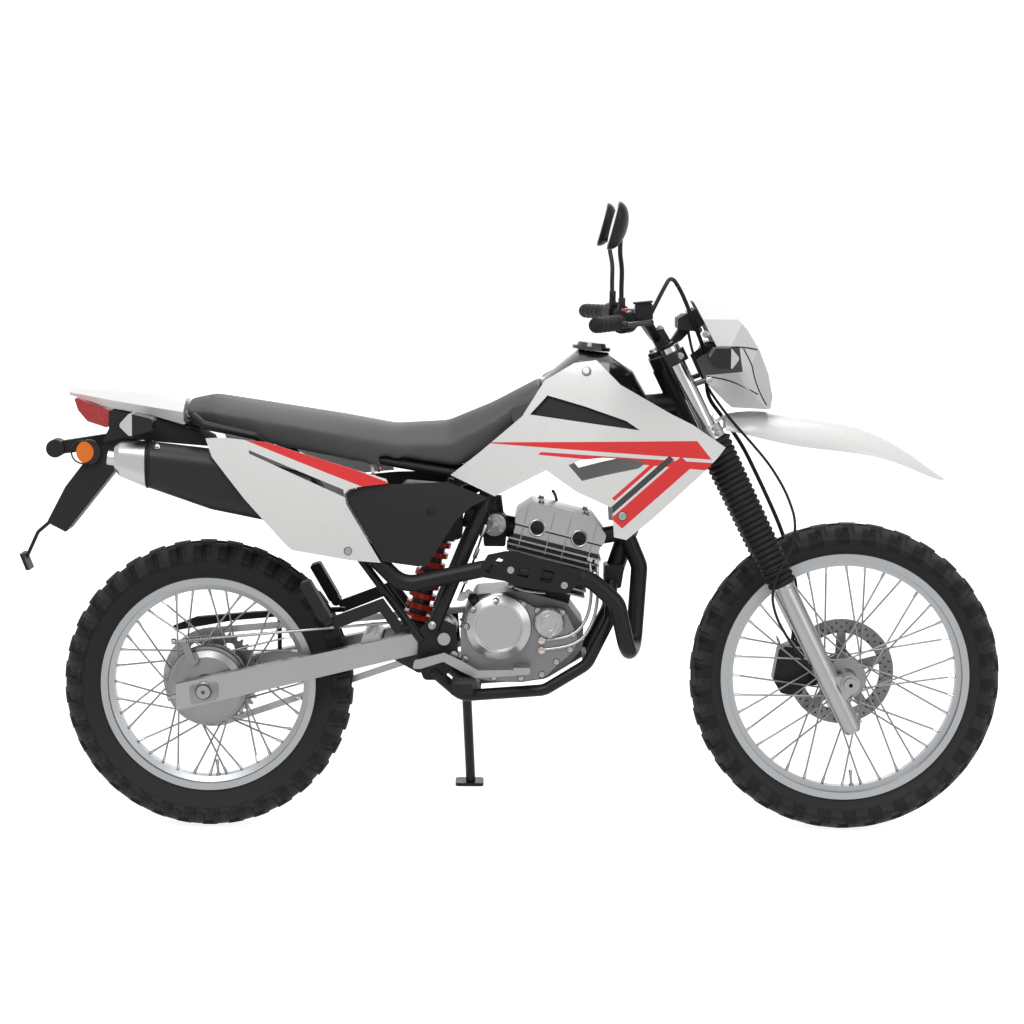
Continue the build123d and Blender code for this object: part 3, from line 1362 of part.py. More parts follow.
def belt(rear, rear_r, front, front_r, half, y_a, y_b):
    """A band of the given half height round two circles."""
    outer = belt_disc(rear, rear_r + half, front, front_r + half, y_a, y_b)
    inner = belt_disc(rear, rear_r - half, front, front_r - half, y_a - 1, y_b + 1)
    return cut(outer, inner)


def front_sprocket():
    """The small sprocket on the engine's output shaft."""
    centre = Vector(COUNTERSHAFT_X, 0, COUNTERSHAFT_Z)
    wheel = side_plate(sprocket_outline(FRONT_TEETH, CHAIN_PITCH, centre), CHAIN_Y - 3, CHAIN_Y + 3)
    return wheel


# Placing

def ground_height():
    """The ground's height under the leaned machine, below the upright one's."""
    return -TYRE_CROWN_R * (1 - math.cos(LEAN))


def leaned(shape):
    """The shape leaned to its left about the line through both tyres' feet."""
    return Rot(X=-LEAN_DEG) * shape


def leaned_point(x, y, z):
    """An upright point, leaned to the left."""
    return Vector(x, y * math.cos(LEAN) + z * math.sin(LEAN), z * math.cos(LEAN) - y * math.sin(LEAN))


STAND_BOLT_R = 6.0
STAND_EYE_HALF = 12.0
STAND_BOLT_HALF = 20.0


def side_stand():
    """The side stand, drawn where it stands: its foot flat on the ground."""
    pivot = leaned_point(*STAND_PIVOT)
    ground = ground_height()
    foot = Vector(STAND_FOOT[0], STAND_FOOT[1], ground)
    leg = rod(pivot, foot + Vector(0, 0, 2), STAND_TUBE_R)
    pad = Solid.extrude(Face(outline([
        (foot.X - 36, foot.Y - 18, ground), (foot.X + 30, foot.Y - 18, ground), (foot.X + 30, foot.Y + 22, ground),
        (foot.X - 36, foot.Y + 22, ground)], 8.0)), Vector(0, 0, 8))
    axis = stand_axis()
    eye = rod(pivot - axis * STAND_EYE_HALF, pivot + axis * STAND_EYE_HALF, 17.0)
    bore = rod(pivot - axis * 30, pivot + axis * 30, STAND_BOLT_R + RUN_FIT)
    floor = Pos(0, 0, ground - 50) * Box(4000, 4000, 100)
    return cut(joined(leg, pad, eye), bore, floor)


def stand_axis():
    """The stand's hinge line: square to the leg both where it stands and where it is folded."""
    pivot = leaned_point(*STAND_PIVOT)
    foot = Vector(STAND_FOOT[0], STAND_FOOT[1], ground_height() + 12)
    down = (foot - pivot).normalized()
    folded = (leaned_point(-0.97, 0.16, 0.06) - leaned_point(0, 0, 0)).normalized()
    return down.cross(folded).normalized()


def stand_bracket():
    """The lug on the left rail that carries the side stand's bolt."""
    pivot = leaned_point(*STAND_PIVOT)
    axis = stand_axis()
    bolt = rod(pivot - axis * STAND_BOLT_HALF, pivot + axis * STAND_BOLT_HALF, STAND_BOLT_R)
    head = rod(pivot + axis * (STAND_EYE_HALF + BODY_GAP), pivot + axis * STAND_BOLT_HALF, 11.0)
    plate = rod(pivot - axis * (STAND_EYE_HALF + BODY_GAP), pivot - axis * STAND_BOLT_HALF, 18.0)
    lug = rod(pivot - axis * 19, leaned_point(*STAND_LUG_END), 8.0)
    return joined(bolt, head, plate, lug)


def build():
    """Every node, leaned and set over the origin."""
    nodes = {}
    nodes["front_tyre"] = tyre(FRONT_TYRE_R, FRONT_TYRE_HALF, FRONT_BEAD_R, FRONT_RIM_HALF, FRONT_AXLE)
    nodes["front_rim"] = rim(FRONT_BEAD_R, FRONT_RIM_HALF, FRONT_AXLE)
    nodes["front_hub"] = front_hub()
    nodes["front_brake_disc"] = brake_disc()
    nodes["rear_tyre"] = tyre(REAR_TYRE_R, REAR_TYRE_HALF, REAR_BEAD_R, REAR_RIM_HALF, REAR_AXLE)
    nodes["rear_rim"] = rim(REAR_BEAD_R, REAR_RIM_HALF, REAR_AXLE)
    nodes["rear_hub"] = rear_hub()
    nodes["rear_sprocket"] = rear_sprocket()

    nodes["fork_tubes"] = fork_tubes()
    nodes["fork_sliders"] = group(slider(RIGHT), slider(LEFT))
    nodes["fork_gaiters"] = group(gaiter(RIGHT), gaiter(LEFT))
    nodes["triple_clamps"] = triple_clamps()
    nodes["front_axle"] = front_axle()
    nodes["handlebar"] = handlebar()
    nodes["grips"] = grips()
    nodes["bar_controls"] = bar_controls()
    nodes["mirrors"] = mirrors()
    nodes["front_fender"] = front_fender(nodes["triple_clamps"])
    nodes["headlight_cowl"], nodes["headlight_lens"] = headlight_pieces(nodes["fork_tubes"])
    nodes["instrument"] = instrument()
    nodes["front_signals"] = front_signals()
    nodes["front_caliper"] = caliper()
    nodes["brake_hose"] = brake_hose(nodes["bar_controls"], nodes["front_caliper"])
    nodes["meter_cable"] = meter_cable(nodes["instrument"], nodes["fork_sliders"])

    main_frame = frame_main()
    cradle = frame_cradle(main_frame)
    nodes["frame_main"] = main_frame
    nodes["frame_cradle"] = cradle
    nodes["subframe"] = subframe(main_frame, cradle)
    nodes["swing_arm"] = swing_arm()
    nodes["axle_bolts"] = group(pivot_bolt(), rear_axle())
    nodes["rear_brake_panel"] = brake_panel()
    rocker = linkage(nodes["swing_arm"])
    nodes["rear_shock"] = joined(shock(rocker, main_frame), rocker)

    case = crankcase()
    head = cylinder_head()
    pipe = exhaust_pipe(head)
    nodes["crankcase"] = case
    nodes["engine_covers"] = group(clutch_cover(), generator_cover())
    nodes["cylinder"] = cylinder(case)
    nodes["cylinder_head"] = head
    nodes["intake"] = group(cut(carburettor(), head), airbox())
    nodes["exhaust_pipe"] = pipe
    nodes["heat_shield"] = heat_shield()
    nodes["muffler"] = group(muffler(pipe), muffler_end())

    nodes["fuel_tank"] = fuel_tank()
    nodes["fuel_cap"] = fuel_cap()
    nodes["seat"] = seat()
    nodes["shrouds"] = group(*[
        seated_shroud(side, shroud_backing(side), nodes["fuel_tank"], main_frame) for side in (RIGHT, LEFT)])
    nodes["shroud_backings"] = group(shroud_backing(RIGHT), shroud_backing(LEFT))
    nodes["side_panels"] = group(*[seated_panel(side, nodes["subframe"]) for side in (RIGHT, LEFT)])
    nodes["side_covers"] = group(*[seated_cover(side, airbox()) for side in (RIGHT, LEFT)])
    nodes["tail_cowl"] = tail_cowl(nodes["subframe"])
    nodes["tail_light"] = tail_light(nodes["tail_cowl"])
    nodes["rear_fender"] = rear_fender(nodes["tail_light"])
    nodes["rear_lamps"] = group(rear_signals(), reflectors())
    nodes["grab_rails"] = grab_rails(nodes["subframe"], nodes["seat"])
    nodes["foot_pegs"] = group(pegs(), passenger_pegs(nodes["subframe"]))
    nodes["foot_controls"] = group(brake_pedal(), gear_lever())
    nodes["chain_guard"] = chain_guard(nodes["swing_arm"])
    nodes["drive_chain"] = group(chain(), front_sprocket())

    nodes = {name: leaned(shape) for name, shape in nodes.items()}
    nodes["side_stand"] = side_stand()
    return nodes


def origin_shift(nodes):
    """The move that puts the origin under the middle of the machine's box."""
    boxes = [shape.bounding_box() for shape in nodes.values()]
    x_mid = (min(box.min.X for box in boxes) + max(box.max.X for box in boxes)) / 2
    y_mid = (min(box.min.Y for box in boxes) + max(box.max.Y for box in boxes)) / 2
    return Vector(-x_mid, -y_mid, -min(box.min.Z for box in boxes))


def main():
    """Write a STEP file for each node."""
    os.makedirs("parts", exist_ok=True)
    nodes = build()
    shift = origin_shift(nodes)
    for name, shape in nodes.items():
        export_step(Pos(shift) * shape, "parts/" + name + ".step")


if __name__ == "__main__":
    main()
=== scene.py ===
"""Looks of a trail motorcycle that leans on its side stand.

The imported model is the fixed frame. Its nodes keep their shapes and get their finishes here. The
seat, the mirrors and the fork's gaiters are modelled anew in their nodes' places, and the small
fasteners and fittings are added on top.
Places are written in millimetres on the upright machine: x ahead of the rear axle, y to the
left of the middle plane and z above the ground. The Stance class leans and shifts them.
"""

import json
import logging
import math
from dataclasses import dataclass
from enum import Enum
from typing import Callable, Iterable, Optional, Sequence, Union

import bpy
from mathutils import Euler, Matrix, Vector
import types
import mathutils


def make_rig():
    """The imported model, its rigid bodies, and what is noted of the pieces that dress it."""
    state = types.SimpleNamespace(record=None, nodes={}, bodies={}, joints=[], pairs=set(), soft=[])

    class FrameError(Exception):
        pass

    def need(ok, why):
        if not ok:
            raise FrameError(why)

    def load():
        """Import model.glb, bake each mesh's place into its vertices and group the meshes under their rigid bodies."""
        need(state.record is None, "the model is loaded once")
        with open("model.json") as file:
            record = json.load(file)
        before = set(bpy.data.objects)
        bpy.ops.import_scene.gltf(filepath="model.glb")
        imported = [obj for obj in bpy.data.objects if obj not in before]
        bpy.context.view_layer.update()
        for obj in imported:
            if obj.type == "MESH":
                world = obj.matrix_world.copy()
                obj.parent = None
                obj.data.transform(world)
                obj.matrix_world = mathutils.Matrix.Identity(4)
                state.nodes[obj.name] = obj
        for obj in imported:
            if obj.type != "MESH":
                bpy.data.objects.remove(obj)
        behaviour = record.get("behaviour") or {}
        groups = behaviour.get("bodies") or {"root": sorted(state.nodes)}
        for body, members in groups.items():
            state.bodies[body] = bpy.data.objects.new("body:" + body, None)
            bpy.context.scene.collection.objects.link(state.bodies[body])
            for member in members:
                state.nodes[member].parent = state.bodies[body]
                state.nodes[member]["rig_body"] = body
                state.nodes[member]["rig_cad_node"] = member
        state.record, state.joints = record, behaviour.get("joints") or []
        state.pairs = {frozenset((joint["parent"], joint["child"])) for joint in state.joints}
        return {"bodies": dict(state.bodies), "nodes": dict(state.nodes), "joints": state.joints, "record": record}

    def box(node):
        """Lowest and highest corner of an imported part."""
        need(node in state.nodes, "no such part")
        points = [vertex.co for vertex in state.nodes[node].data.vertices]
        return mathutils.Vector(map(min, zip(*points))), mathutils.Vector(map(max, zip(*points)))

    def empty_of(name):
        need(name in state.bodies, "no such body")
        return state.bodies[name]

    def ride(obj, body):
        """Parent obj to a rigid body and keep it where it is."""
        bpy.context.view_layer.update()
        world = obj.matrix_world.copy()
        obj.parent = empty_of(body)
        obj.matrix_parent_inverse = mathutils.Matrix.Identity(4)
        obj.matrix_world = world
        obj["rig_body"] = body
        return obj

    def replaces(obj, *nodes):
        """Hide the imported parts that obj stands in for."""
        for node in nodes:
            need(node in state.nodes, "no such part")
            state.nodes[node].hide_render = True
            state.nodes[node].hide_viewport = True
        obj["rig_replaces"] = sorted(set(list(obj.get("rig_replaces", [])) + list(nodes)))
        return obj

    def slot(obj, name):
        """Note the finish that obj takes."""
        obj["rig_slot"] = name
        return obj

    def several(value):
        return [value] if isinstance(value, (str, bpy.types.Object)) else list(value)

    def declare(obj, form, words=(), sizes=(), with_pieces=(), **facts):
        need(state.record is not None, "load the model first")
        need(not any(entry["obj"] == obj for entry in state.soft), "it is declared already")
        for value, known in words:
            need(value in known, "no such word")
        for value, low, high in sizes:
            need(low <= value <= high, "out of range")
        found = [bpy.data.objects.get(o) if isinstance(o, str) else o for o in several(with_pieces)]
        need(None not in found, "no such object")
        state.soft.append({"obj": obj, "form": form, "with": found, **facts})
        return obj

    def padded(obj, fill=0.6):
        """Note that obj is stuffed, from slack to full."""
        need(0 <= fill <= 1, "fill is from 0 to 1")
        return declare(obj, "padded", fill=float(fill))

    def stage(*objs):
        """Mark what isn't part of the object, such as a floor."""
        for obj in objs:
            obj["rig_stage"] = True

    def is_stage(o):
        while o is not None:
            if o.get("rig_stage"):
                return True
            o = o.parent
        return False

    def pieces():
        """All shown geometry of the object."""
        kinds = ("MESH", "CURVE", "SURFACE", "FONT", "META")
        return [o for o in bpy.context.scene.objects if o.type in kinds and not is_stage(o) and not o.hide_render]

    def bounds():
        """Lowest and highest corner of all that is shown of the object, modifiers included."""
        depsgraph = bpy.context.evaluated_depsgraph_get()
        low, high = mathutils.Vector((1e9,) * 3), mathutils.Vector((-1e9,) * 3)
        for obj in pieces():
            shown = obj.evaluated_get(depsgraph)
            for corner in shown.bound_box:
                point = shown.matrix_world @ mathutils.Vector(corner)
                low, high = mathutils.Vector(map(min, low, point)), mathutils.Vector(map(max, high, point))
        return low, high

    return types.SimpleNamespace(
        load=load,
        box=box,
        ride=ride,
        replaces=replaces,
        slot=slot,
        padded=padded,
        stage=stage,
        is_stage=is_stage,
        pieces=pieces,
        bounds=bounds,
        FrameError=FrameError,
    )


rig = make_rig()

LOG = logging.getLogger("motorcycle")
MM = 0.001
LEAN_DEG = 9.0
REAR_TYRE_R = 324.6
FRONT_TYRE_R = 347.7
WHEELBASE = 1427.0
REAR_AXLE = Vector((0, 0, REAR_TYRE_R))
FRONT_AXLE = Vector((WHEELBASE, 0, FRONT_TYRE_R))
FORK_RAKE = math.radians(26.3)
AXLE_LEAD = 38.0
CYLINDER_TILT = math.radians(14.0)
CYLINDER_FOOT = (742.0, 520.0)
GASKET_HEIGHT = 156.5
SAME_POINT = 0.05

Number = Union[int, float]
Point = Sequence[float]


class Body(Enum):
    """The rigid bodies that pieces ride on."""

    CHASSIS = "chassis"
    STEERING = "steering"
    FRONT_WHEEL = "front_wheel"
    REAR_WHEEL = "rear_wheel"
    SIDE_STAND = "side_stand"


class Side(Enum):
    """The two sides of the machine, as the sign of y."""

    RIGHT = -1
    LEFT = 1


@dataclass(frozen=True)
class Stance:
    """How the upright machine's millimetres become the leaning machine's metres."""

    shift: Vector
    lean: float = math.radians(LEAN_DEG)

    @classmethod
    def from_frame(cls) -> "Stance":
        """Reads the shift from the rear rim, whose middle is the rear axle's."""
        low, high = (Vector(corner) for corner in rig.box("rear_rim"))
        lean = math.radians(LEAN_DEG)
        axle = Vector((0, REAR_TYRE_R * math.sin(lean), REAR_TYRE_R * math.cos(lean))) * MM
        return cls(shift=(low + high) / 2 - axle)

    @property
    def matrix(self) -> Matrix:
        """The leaning and shifting of metres."""
        return Matrix.Translation(self.shift) @ Matrix.Rotation(-self.lean, 4, "X")

    def at(self, x: float, y: float, z: float) -> Vector:
        """A place on the machine in the scene's metres.

        Args:
            x: Ahead of the rear axle.
            y: To the left of the middle plane.
            z: Above the ground.

        Returns:
            The place on the leaning machine.
        """
        return self.matrix @ (Vector((x, y, z)) * MM)


class Val:
    """A shader socket that takes part in Python arithmetic."""

    def __init__(self, shader: "Shader", socket: bpy.types.NodeSocket) -> None:
        """Keeps the socket and the shader it belongs to."""
        self.shader = shader
        self.socket = socket

    def _math(self, operation: str, *values: Union["Val", Number]) -> "Val":
        """One Math node on these values."""
        return self.shader.node("ShaderNodeMath", {"operation": operation}, list(values))

    def __add__(self, other: Union["Val", Number]) -> "Val":
        """The sum."""
        return self._math("ADD", self, other)

    __radd__ = __add__

    def __mul__(self, other: Union["Val", Number]) -> "Val":
        """The product."""
        return self._math("MULTIPLY", self, other)

    __rmul__ = __mul__

    def __sub__(self, other: Union["Val", Number]) -> "Val":
        """The difference."""
        return self._math("SUBTRACT", self, other)

    def __rsub__(self, other: Union["Val", Number]) -> "Val":
        """The difference with the value on the right."""
        return self._math("SUBTRACT", other, self)

    def __truediv__(self, other: Union["Val", Number]) -> "Val":
        """The quotient."""
        return self._math("DIVIDE", self, other)

    def __gt__(self, other: Union["Val", Number]) -> "Val":
        """1 where this is the greater."""
        return self._math("GREATER_THAN", self, other)

    def __lt__(self, other: Union["Val", Number]) -> "Val":
        """1 where this is the less."""
        return self._math("LESS_THAN", self, other)

    def __abs__(self) -> "Val":
        """The size without its sign."""
        return self._math("ABSOLUTE", self)

    def power(self, exponent: Number) -> "Val":
        """This raised to a power."""
        return self._math("POWER", self, exponent)

    def either(self, other: "Val") -> "Val":
        """The greater of two masks."""
        return self._math("MAXIMUM", self, other)

    def wave(self) -> "Val":
        """The sine."""
        return self._math("SINE", self)

    def angle(self, ahead: "Val") -> "Val":
        """The turn of a point that is this far up and so far ahead."""
        return self._math("ARCTAN2", self, ahead)

    def smooth(self, low: Number, high: Number) -> "Val":
        """A smooth step from 0 at low to 1 at high."""
        settings = {"interpolation_type": "SMOOTHSTEP"}
        return self.shader.node("ShaderNodeMapRange", settings, {0: self, 1: low, 2: high, 3: 0.0, 4: 1.0})


Link = Union[Val, Number, Sequence[float]]


class Shader:
    """One material and the nodes in it."""

    def __init__(self, name: str) -> None:
        """Makes an empty material with its shader and output."""
        self.material = bpy.data.materials.new(name)
        self.material.use_nodes = True
        self.tree = self.material.node_tree
        self.bsdf = self.tree.nodes["Principled BSDF"]

    def node(self, kind: str, settings: Optional[dict] = None, inputs: Union[dict, list, None] = None,
             output: Union[int, str] = 0) -> Val:
        """Adds a node of any type.

        Args:
            kind: The node's type name.
            settings: Its properties, set first.
            inputs: Values or links of its sockets, by name or place.
            output: Which output to return.

        Returns:
            The chosen output.
        """
        made = self.tree.nodes.new(kind)
        for key, value in (settings or {}).items():
            setattr(made, key, value)
        pairs = enumerate(inputs) if isinstance(inputs, list) else (inputs or {}).items()
        for key, value in pairs:
            self.feed(made.inputs[key], value)
        return Val(self, made.outputs[output])

    def feed(self, socket: bpy.types.NodeSocket, value: Link) -> None:
        """Links a value to a socket, or sets it there."""
        if isinstance(value, Val):
            self.tree.links.new(value.socket, socket)
        elif isinstance(value, (int, float)):
            socket.default_value = value
        else:
            values = list(value)
            if len(values) == 3 and len(socket.default_value) == 4:
                values.append(1.0)
            socket.default_value = values

    def set(self, **values: Link) -> "Shader":
        """Sets or links the main shader's inputs; an underscore in a name stands for a space."""
        for key, value in values.items():
            self.feed(self.bsdf.inputs[key.replace("_", " ")], value)
        return self

    def metres(self) -> Val:
        """The object's own coordinates."""
        return self.node("ShaderNodeTexCoord", output="Object")

    def upright(self, stance: Stance) -> tuple[Val, Val, Val]:
        """The place on the upright machine in millimetres, as x, y and z."""
        back = stance.matrix.inverted()
        turned = self.node("ShaderNodeMapping", None, {
            "Vector": self.metres(), "Location": back.translation / MM,
            "Rotation": (stance.lean, 0, 0), "Scale": (1 / MM, 1 / MM, 1 / MM)})
        return self.split(turned)

    def split(self, vector: Val) -> tuple[Val, Val, Val]:
        """A vector's x, y and z."""
        parts = self.tree.nodes.new("ShaderNodeSeparateXYZ")
        self.tree.links.new(vector.socket, parts.inputs[0])
        return tuple(Val(self, socket) for socket in parts.outputs)

    def about(self, stance: Stance, axle: Vector) -> tuple[Val, Val]:
        """The distance from an axle in millimetres and the turn about it."""
        x, _, z = self.upright(stance)
        ahead = x - axle.x
        up = z - axle.z
        return (ahead * ahead + up * up).power(0.5), up.angle(ahead)

    def noise(self, scale: Number, detail: Number = 3.0, stretch: Optional[Point] = None) -> Val:
        """Cloudy noise over the piece, from 0 to 1."""
        place = self.metres()
        if stretch is not None:
            place = self.node("ShaderNodeMapping", None, {"Vector": place, "Scale": stretch})
        return self.node("ShaderNodeTexNoise", None, {"Vector": place, "Scale": scale, "Detail": detail})

    def cells(self, scale: Number) -> Val:
        """The distance to the nearest cell's middle."""
        return self.node("ShaderNodeTexVoronoi", None, {"Vector": self.metres(), "Scale": scale})

    def mix(self, mask: Val, low: Link, high: Link) -> Val:
        """A colour that goes from low to high as the mask goes from 0 to 1."""
        made = self.tree.nodes.new("ShaderNodeMix")
        made.data_type = "RGBA"
        self.feed(made.inputs[0], mask)
        self.feed(made.inputs[6], low)
        self.feed(made.inputs[7], high)
        return Val(self, made.outputs[2])

    def bump(self, height: Val, strength: float, depth: float) -> Val:
        """A normal bent by a height.

        Args:
            height: The relief, 0 to 1.
            strength: How much of it shows.
            depth: The relief's depth in millimetres.

        Returns:
            The normal.
        """
        settings = {"Height": height, "Strength": strength, "Distance": depth * MM}
        return self.node("ShaderNodeBump", None, settings)


Colour = tuple[float, float, float]


def dimmed(colour: Colour, share: float) -> Colour:
    """A colour whose channels are taken down to a share of themselves."""
    return tuple(channel * share for channel in colour)


@dataclass(frozen=True)
class Finish:
    """A finish that any piece can take.

    Fields: the name, the colour, how dull it is, how metallic, the grain's scale and depth in
    millimetres, how far the colour drifts, how thick its clear coat is and how much it mirrors.
    """

    name: str
    colour: Colour
    roughness: float
    metallic: float = 0.0
    grain: float = 600.0
    depth: float = 0.05
    drift: float = 0.12
    coat: float = 0.0
    specular: float = 0.5

    def build(self) -> bpy.types.Material:
        """Makes the material, with its grain, its slow drift of colour and its worn shine."""
        shader = Shader(self.name)
        cloud = shader.noise(9.0, 4.0)
        shader.set(
            Base_Color=shader.mix(cloud, dimmed(self.colour, 1 - self.drift), self.colour),
            Roughness=self.roughness * (0.85 + 0.3 * shader.noise(40.0)),
            Metallic=self.metallic,
            Normal=shader.bump(shader.noise(self.grain, 2.0), 0.5, self.depth),
            Specular_IOR_Level=self.specular,
        )
        if self.coat:
            shader.set(Coat_Weight=self.coat, Coat_Roughness=0.08)
        return shader.material


@dataclass(frozen=True)
class Brushed(Finish):
    """Metal whose grain runs one way: its scale is squeezed along that way by stretch."""

    stretch: Point = (0.04, 1.0, 1.0)

    def build(self) -> bpy.types.Material:
        """Makes the material with long scratches."""
        shader = Shader(self.name)
        lines = shader.noise(self.grain, 2.0, self.stretch)
        shader.set(
            Base_Color=shader.mix(shader.noise(14.0), dimmed(self.colour, 1 - self.drift), self.colour),
            Roughness=self.roughness * (0.75 + 0.5 * lines),
            Metallic=self.metallic,
            Normal=shader.bump(lines, 0.35, self.depth),
        )
        return shader.material


@dataclass(frozen=True)
class TyreRubber:
    """Tyre rubber: dusty between the lugs, blocks on the shoulders with painted shade in the grooves between them, and
    fine lines on the sidewalls.

    Fields: the name, the axle, the radius over the lugs, the stance, how many blocks go round, how
    far under the radius the tread and the shoulder blocks begin and end, the blocks' depth, the
    colour of the painted shade in the grooves between the shoulder blocks, and the dust's colour.
    """

    name: str
    axle: Vector
    radius: float
    stance: Stance
    blocks: int = 34
    tread: Point = (30.0, 6.0)
    shoulder_foot: Point = (50.0, 44.0)
    shoulder_top: Point = (12.0, 8.0)
    block_depth: float = 2.4
    painted_groove_shade: Colour = (0.004, 0.004, 0.004)
    dust: Colour = (0.055, 0.053, 0.050)

    def outside(self, reach: Val, band: Point) -> Val:
        """1 outside a band that is given as its two depths under the lugs."""
        return reach.smooth(self.radius - band[0], self.radius - band[1])

    def build(self) -> bpy.types.Material:
        """Makes the material from the distance to the axle and the turn about it."""
        shader = Shader(self.name)
        reach, turn = shader.about(self.stance, self.axle)
        tread = self.outside(reach, self.tread)
        rings = (reach * 1.6).wave() * (1 - tread)
        cloud = shader.noise(22.0, 5.0)
        clean = shader.mix(cloud, (0.010, 0.010, 0.010), (0.026, 0.026, 0.026))
        worn = shader.mix(tread * cloud, clean, self.dust)
        block = ((turn * self.blocks).wave() * 3.0).smooth(-0.6, 0.6)
        shoulder = self.outside(reach, self.shoulder_foot) * (1 - self.outside(reach, self.shoulder_top))
        relief = shader.noise(450.0, 3.0) * 0.12 + rings * 0.05 + block * shoulder
        # Between the shoulder blocks the colour is near black: painted shade in the grooves.
        shader.set(
            Base_Color=shader.mix(shoulder * (1 - block), worn, self.painted_groove_shade),
            Roughness=0.62 + 0.25 * cloud,
            Normal=shader.bump(relief, 0.9, self.block_depth),
            Specular_IOR_Level=0.3,
        )
        return shader.material


@dataclass(frozen=True)
class PanelPlastic:
    """White moulded plastic with red and dark swept bands, cut by their place on the machine.

    Fields: the name, the stance, and the bands. Each band is its colour, the two sloping lines
    that it lies between as (height at x = 0, slope), and the two slanted ends in the same form.
    """

    name: str
    stance: Stance
    bands: tuple[tuple[Colour, Point, Point, Point, Point], ...] = ()
    colour: Colour = (0.74, 0.74, 0.73)

    def build(self) -> bpy.types.Material:
        """Makes the plastic and lays the bands over its outward faces."""
        shader = Shader(self.name)
        cloud = shader.noise(6.0, 2.0)
        colour = shader.mix(cloud, dimmed(self.colour, 0.97), self.colour)
        if self.bands:
            x, y, z = shader.upright(self.stance)
            _, leftward, _ = shader.split(shader.node("ShaderNodeNewGeometry", output="True Normal"))
            outward = (leftward * y) > 0.0
            for paint, low, high, rear, front in self.bands:
                above = z > x * low[1] + low[0]
                below = z < x * high[1] + high[0]
                behind = x < z * front[1] + front[0]
                ahead = x > z * rear[1] + rear[0]
                colour = shader.mix(above * below * behind * ahead * outward, colour, paint)
        shader.set(
            Base_Color=colour,
            Roughness=0.24 + 0.1 * shader.noise(30.0),
            Normal=shader.bump(shader.noise(170.0, 2.0), 0.15, 0.12),
            Coat_Weight=0.35,
            Coat_Roughness=0.06,
        )
        return shader.material


@dataclass(frozen=True)
class DiscSteel:
    """The front brake disc: ground rings and drilled holes round its axle.

    Fields: the name, the axle, the stance, the holes in a row, each row's radius and how far its
    holes are turned, and a hole's radius squared.
    """

    name: str
    axle: Vector
    stance: Stance
    holes: int = 30
    rows: tuple[tuple[float, float], ...] = ((92.0, 0.0), (102.0, 1.6), (111.0, 3.2))
    hole_r_squared: float = 10.5

    def build(self) -> bpy.types.Material:
        """Makes the material from the turn and the distance about the axle."""
        shader = Shader(self.name)
        reach, turn = shader.about(self.stance, self.axle)
        dots = None
        for radius, phase in self.rows:
            across_turn = (turn * (self.holes / 2) + phase).wave() * (math.pi * radius / self.holes)
            span = across_turn * across_turn + (reach - radius) * (reach - radius)
            dot = span < self.hole_r_squared
            dots = dot if dots is None else dots.either(dot)
        shader.set(
            Base_Color=shader.mix(dots, (0.17, 0.17, 0.175), (0.01, 0.01, 0.01)),
            Roughness=0.30 + 0.4 * dots,
            Metallic=1 - dots,
            Normal=shader.bump((reach * 5.0).wave(), 0.2, 0.05),
        )
        return shader.material


@dataclass(frozen=True)
class Lens:
    """Clear or tinted moulded lens."""

    name: str
    colour: Colour
    transmission: float
    ribs: float = 0.0

    def build(self) -> bpy.types.Material:
        """Makes the lens with fine ribs."""
        shader = Shader(self.name)
        shader.set(Base_Color=self.colour, Roughness=0.08, Coat_Weight=0.5,
                   Transmission_Weight=self.transmission, IOR=1.45)
        if self.ribs:
            cells = shader.cells(self.ribs)
            shader.set(
                Normal=shader.bump(cells, 0.5, 0.8),
                Base_Color=shader.mix(cells, dimmed(self.colour, 0.5), self.colour),
            )
        return shader.material


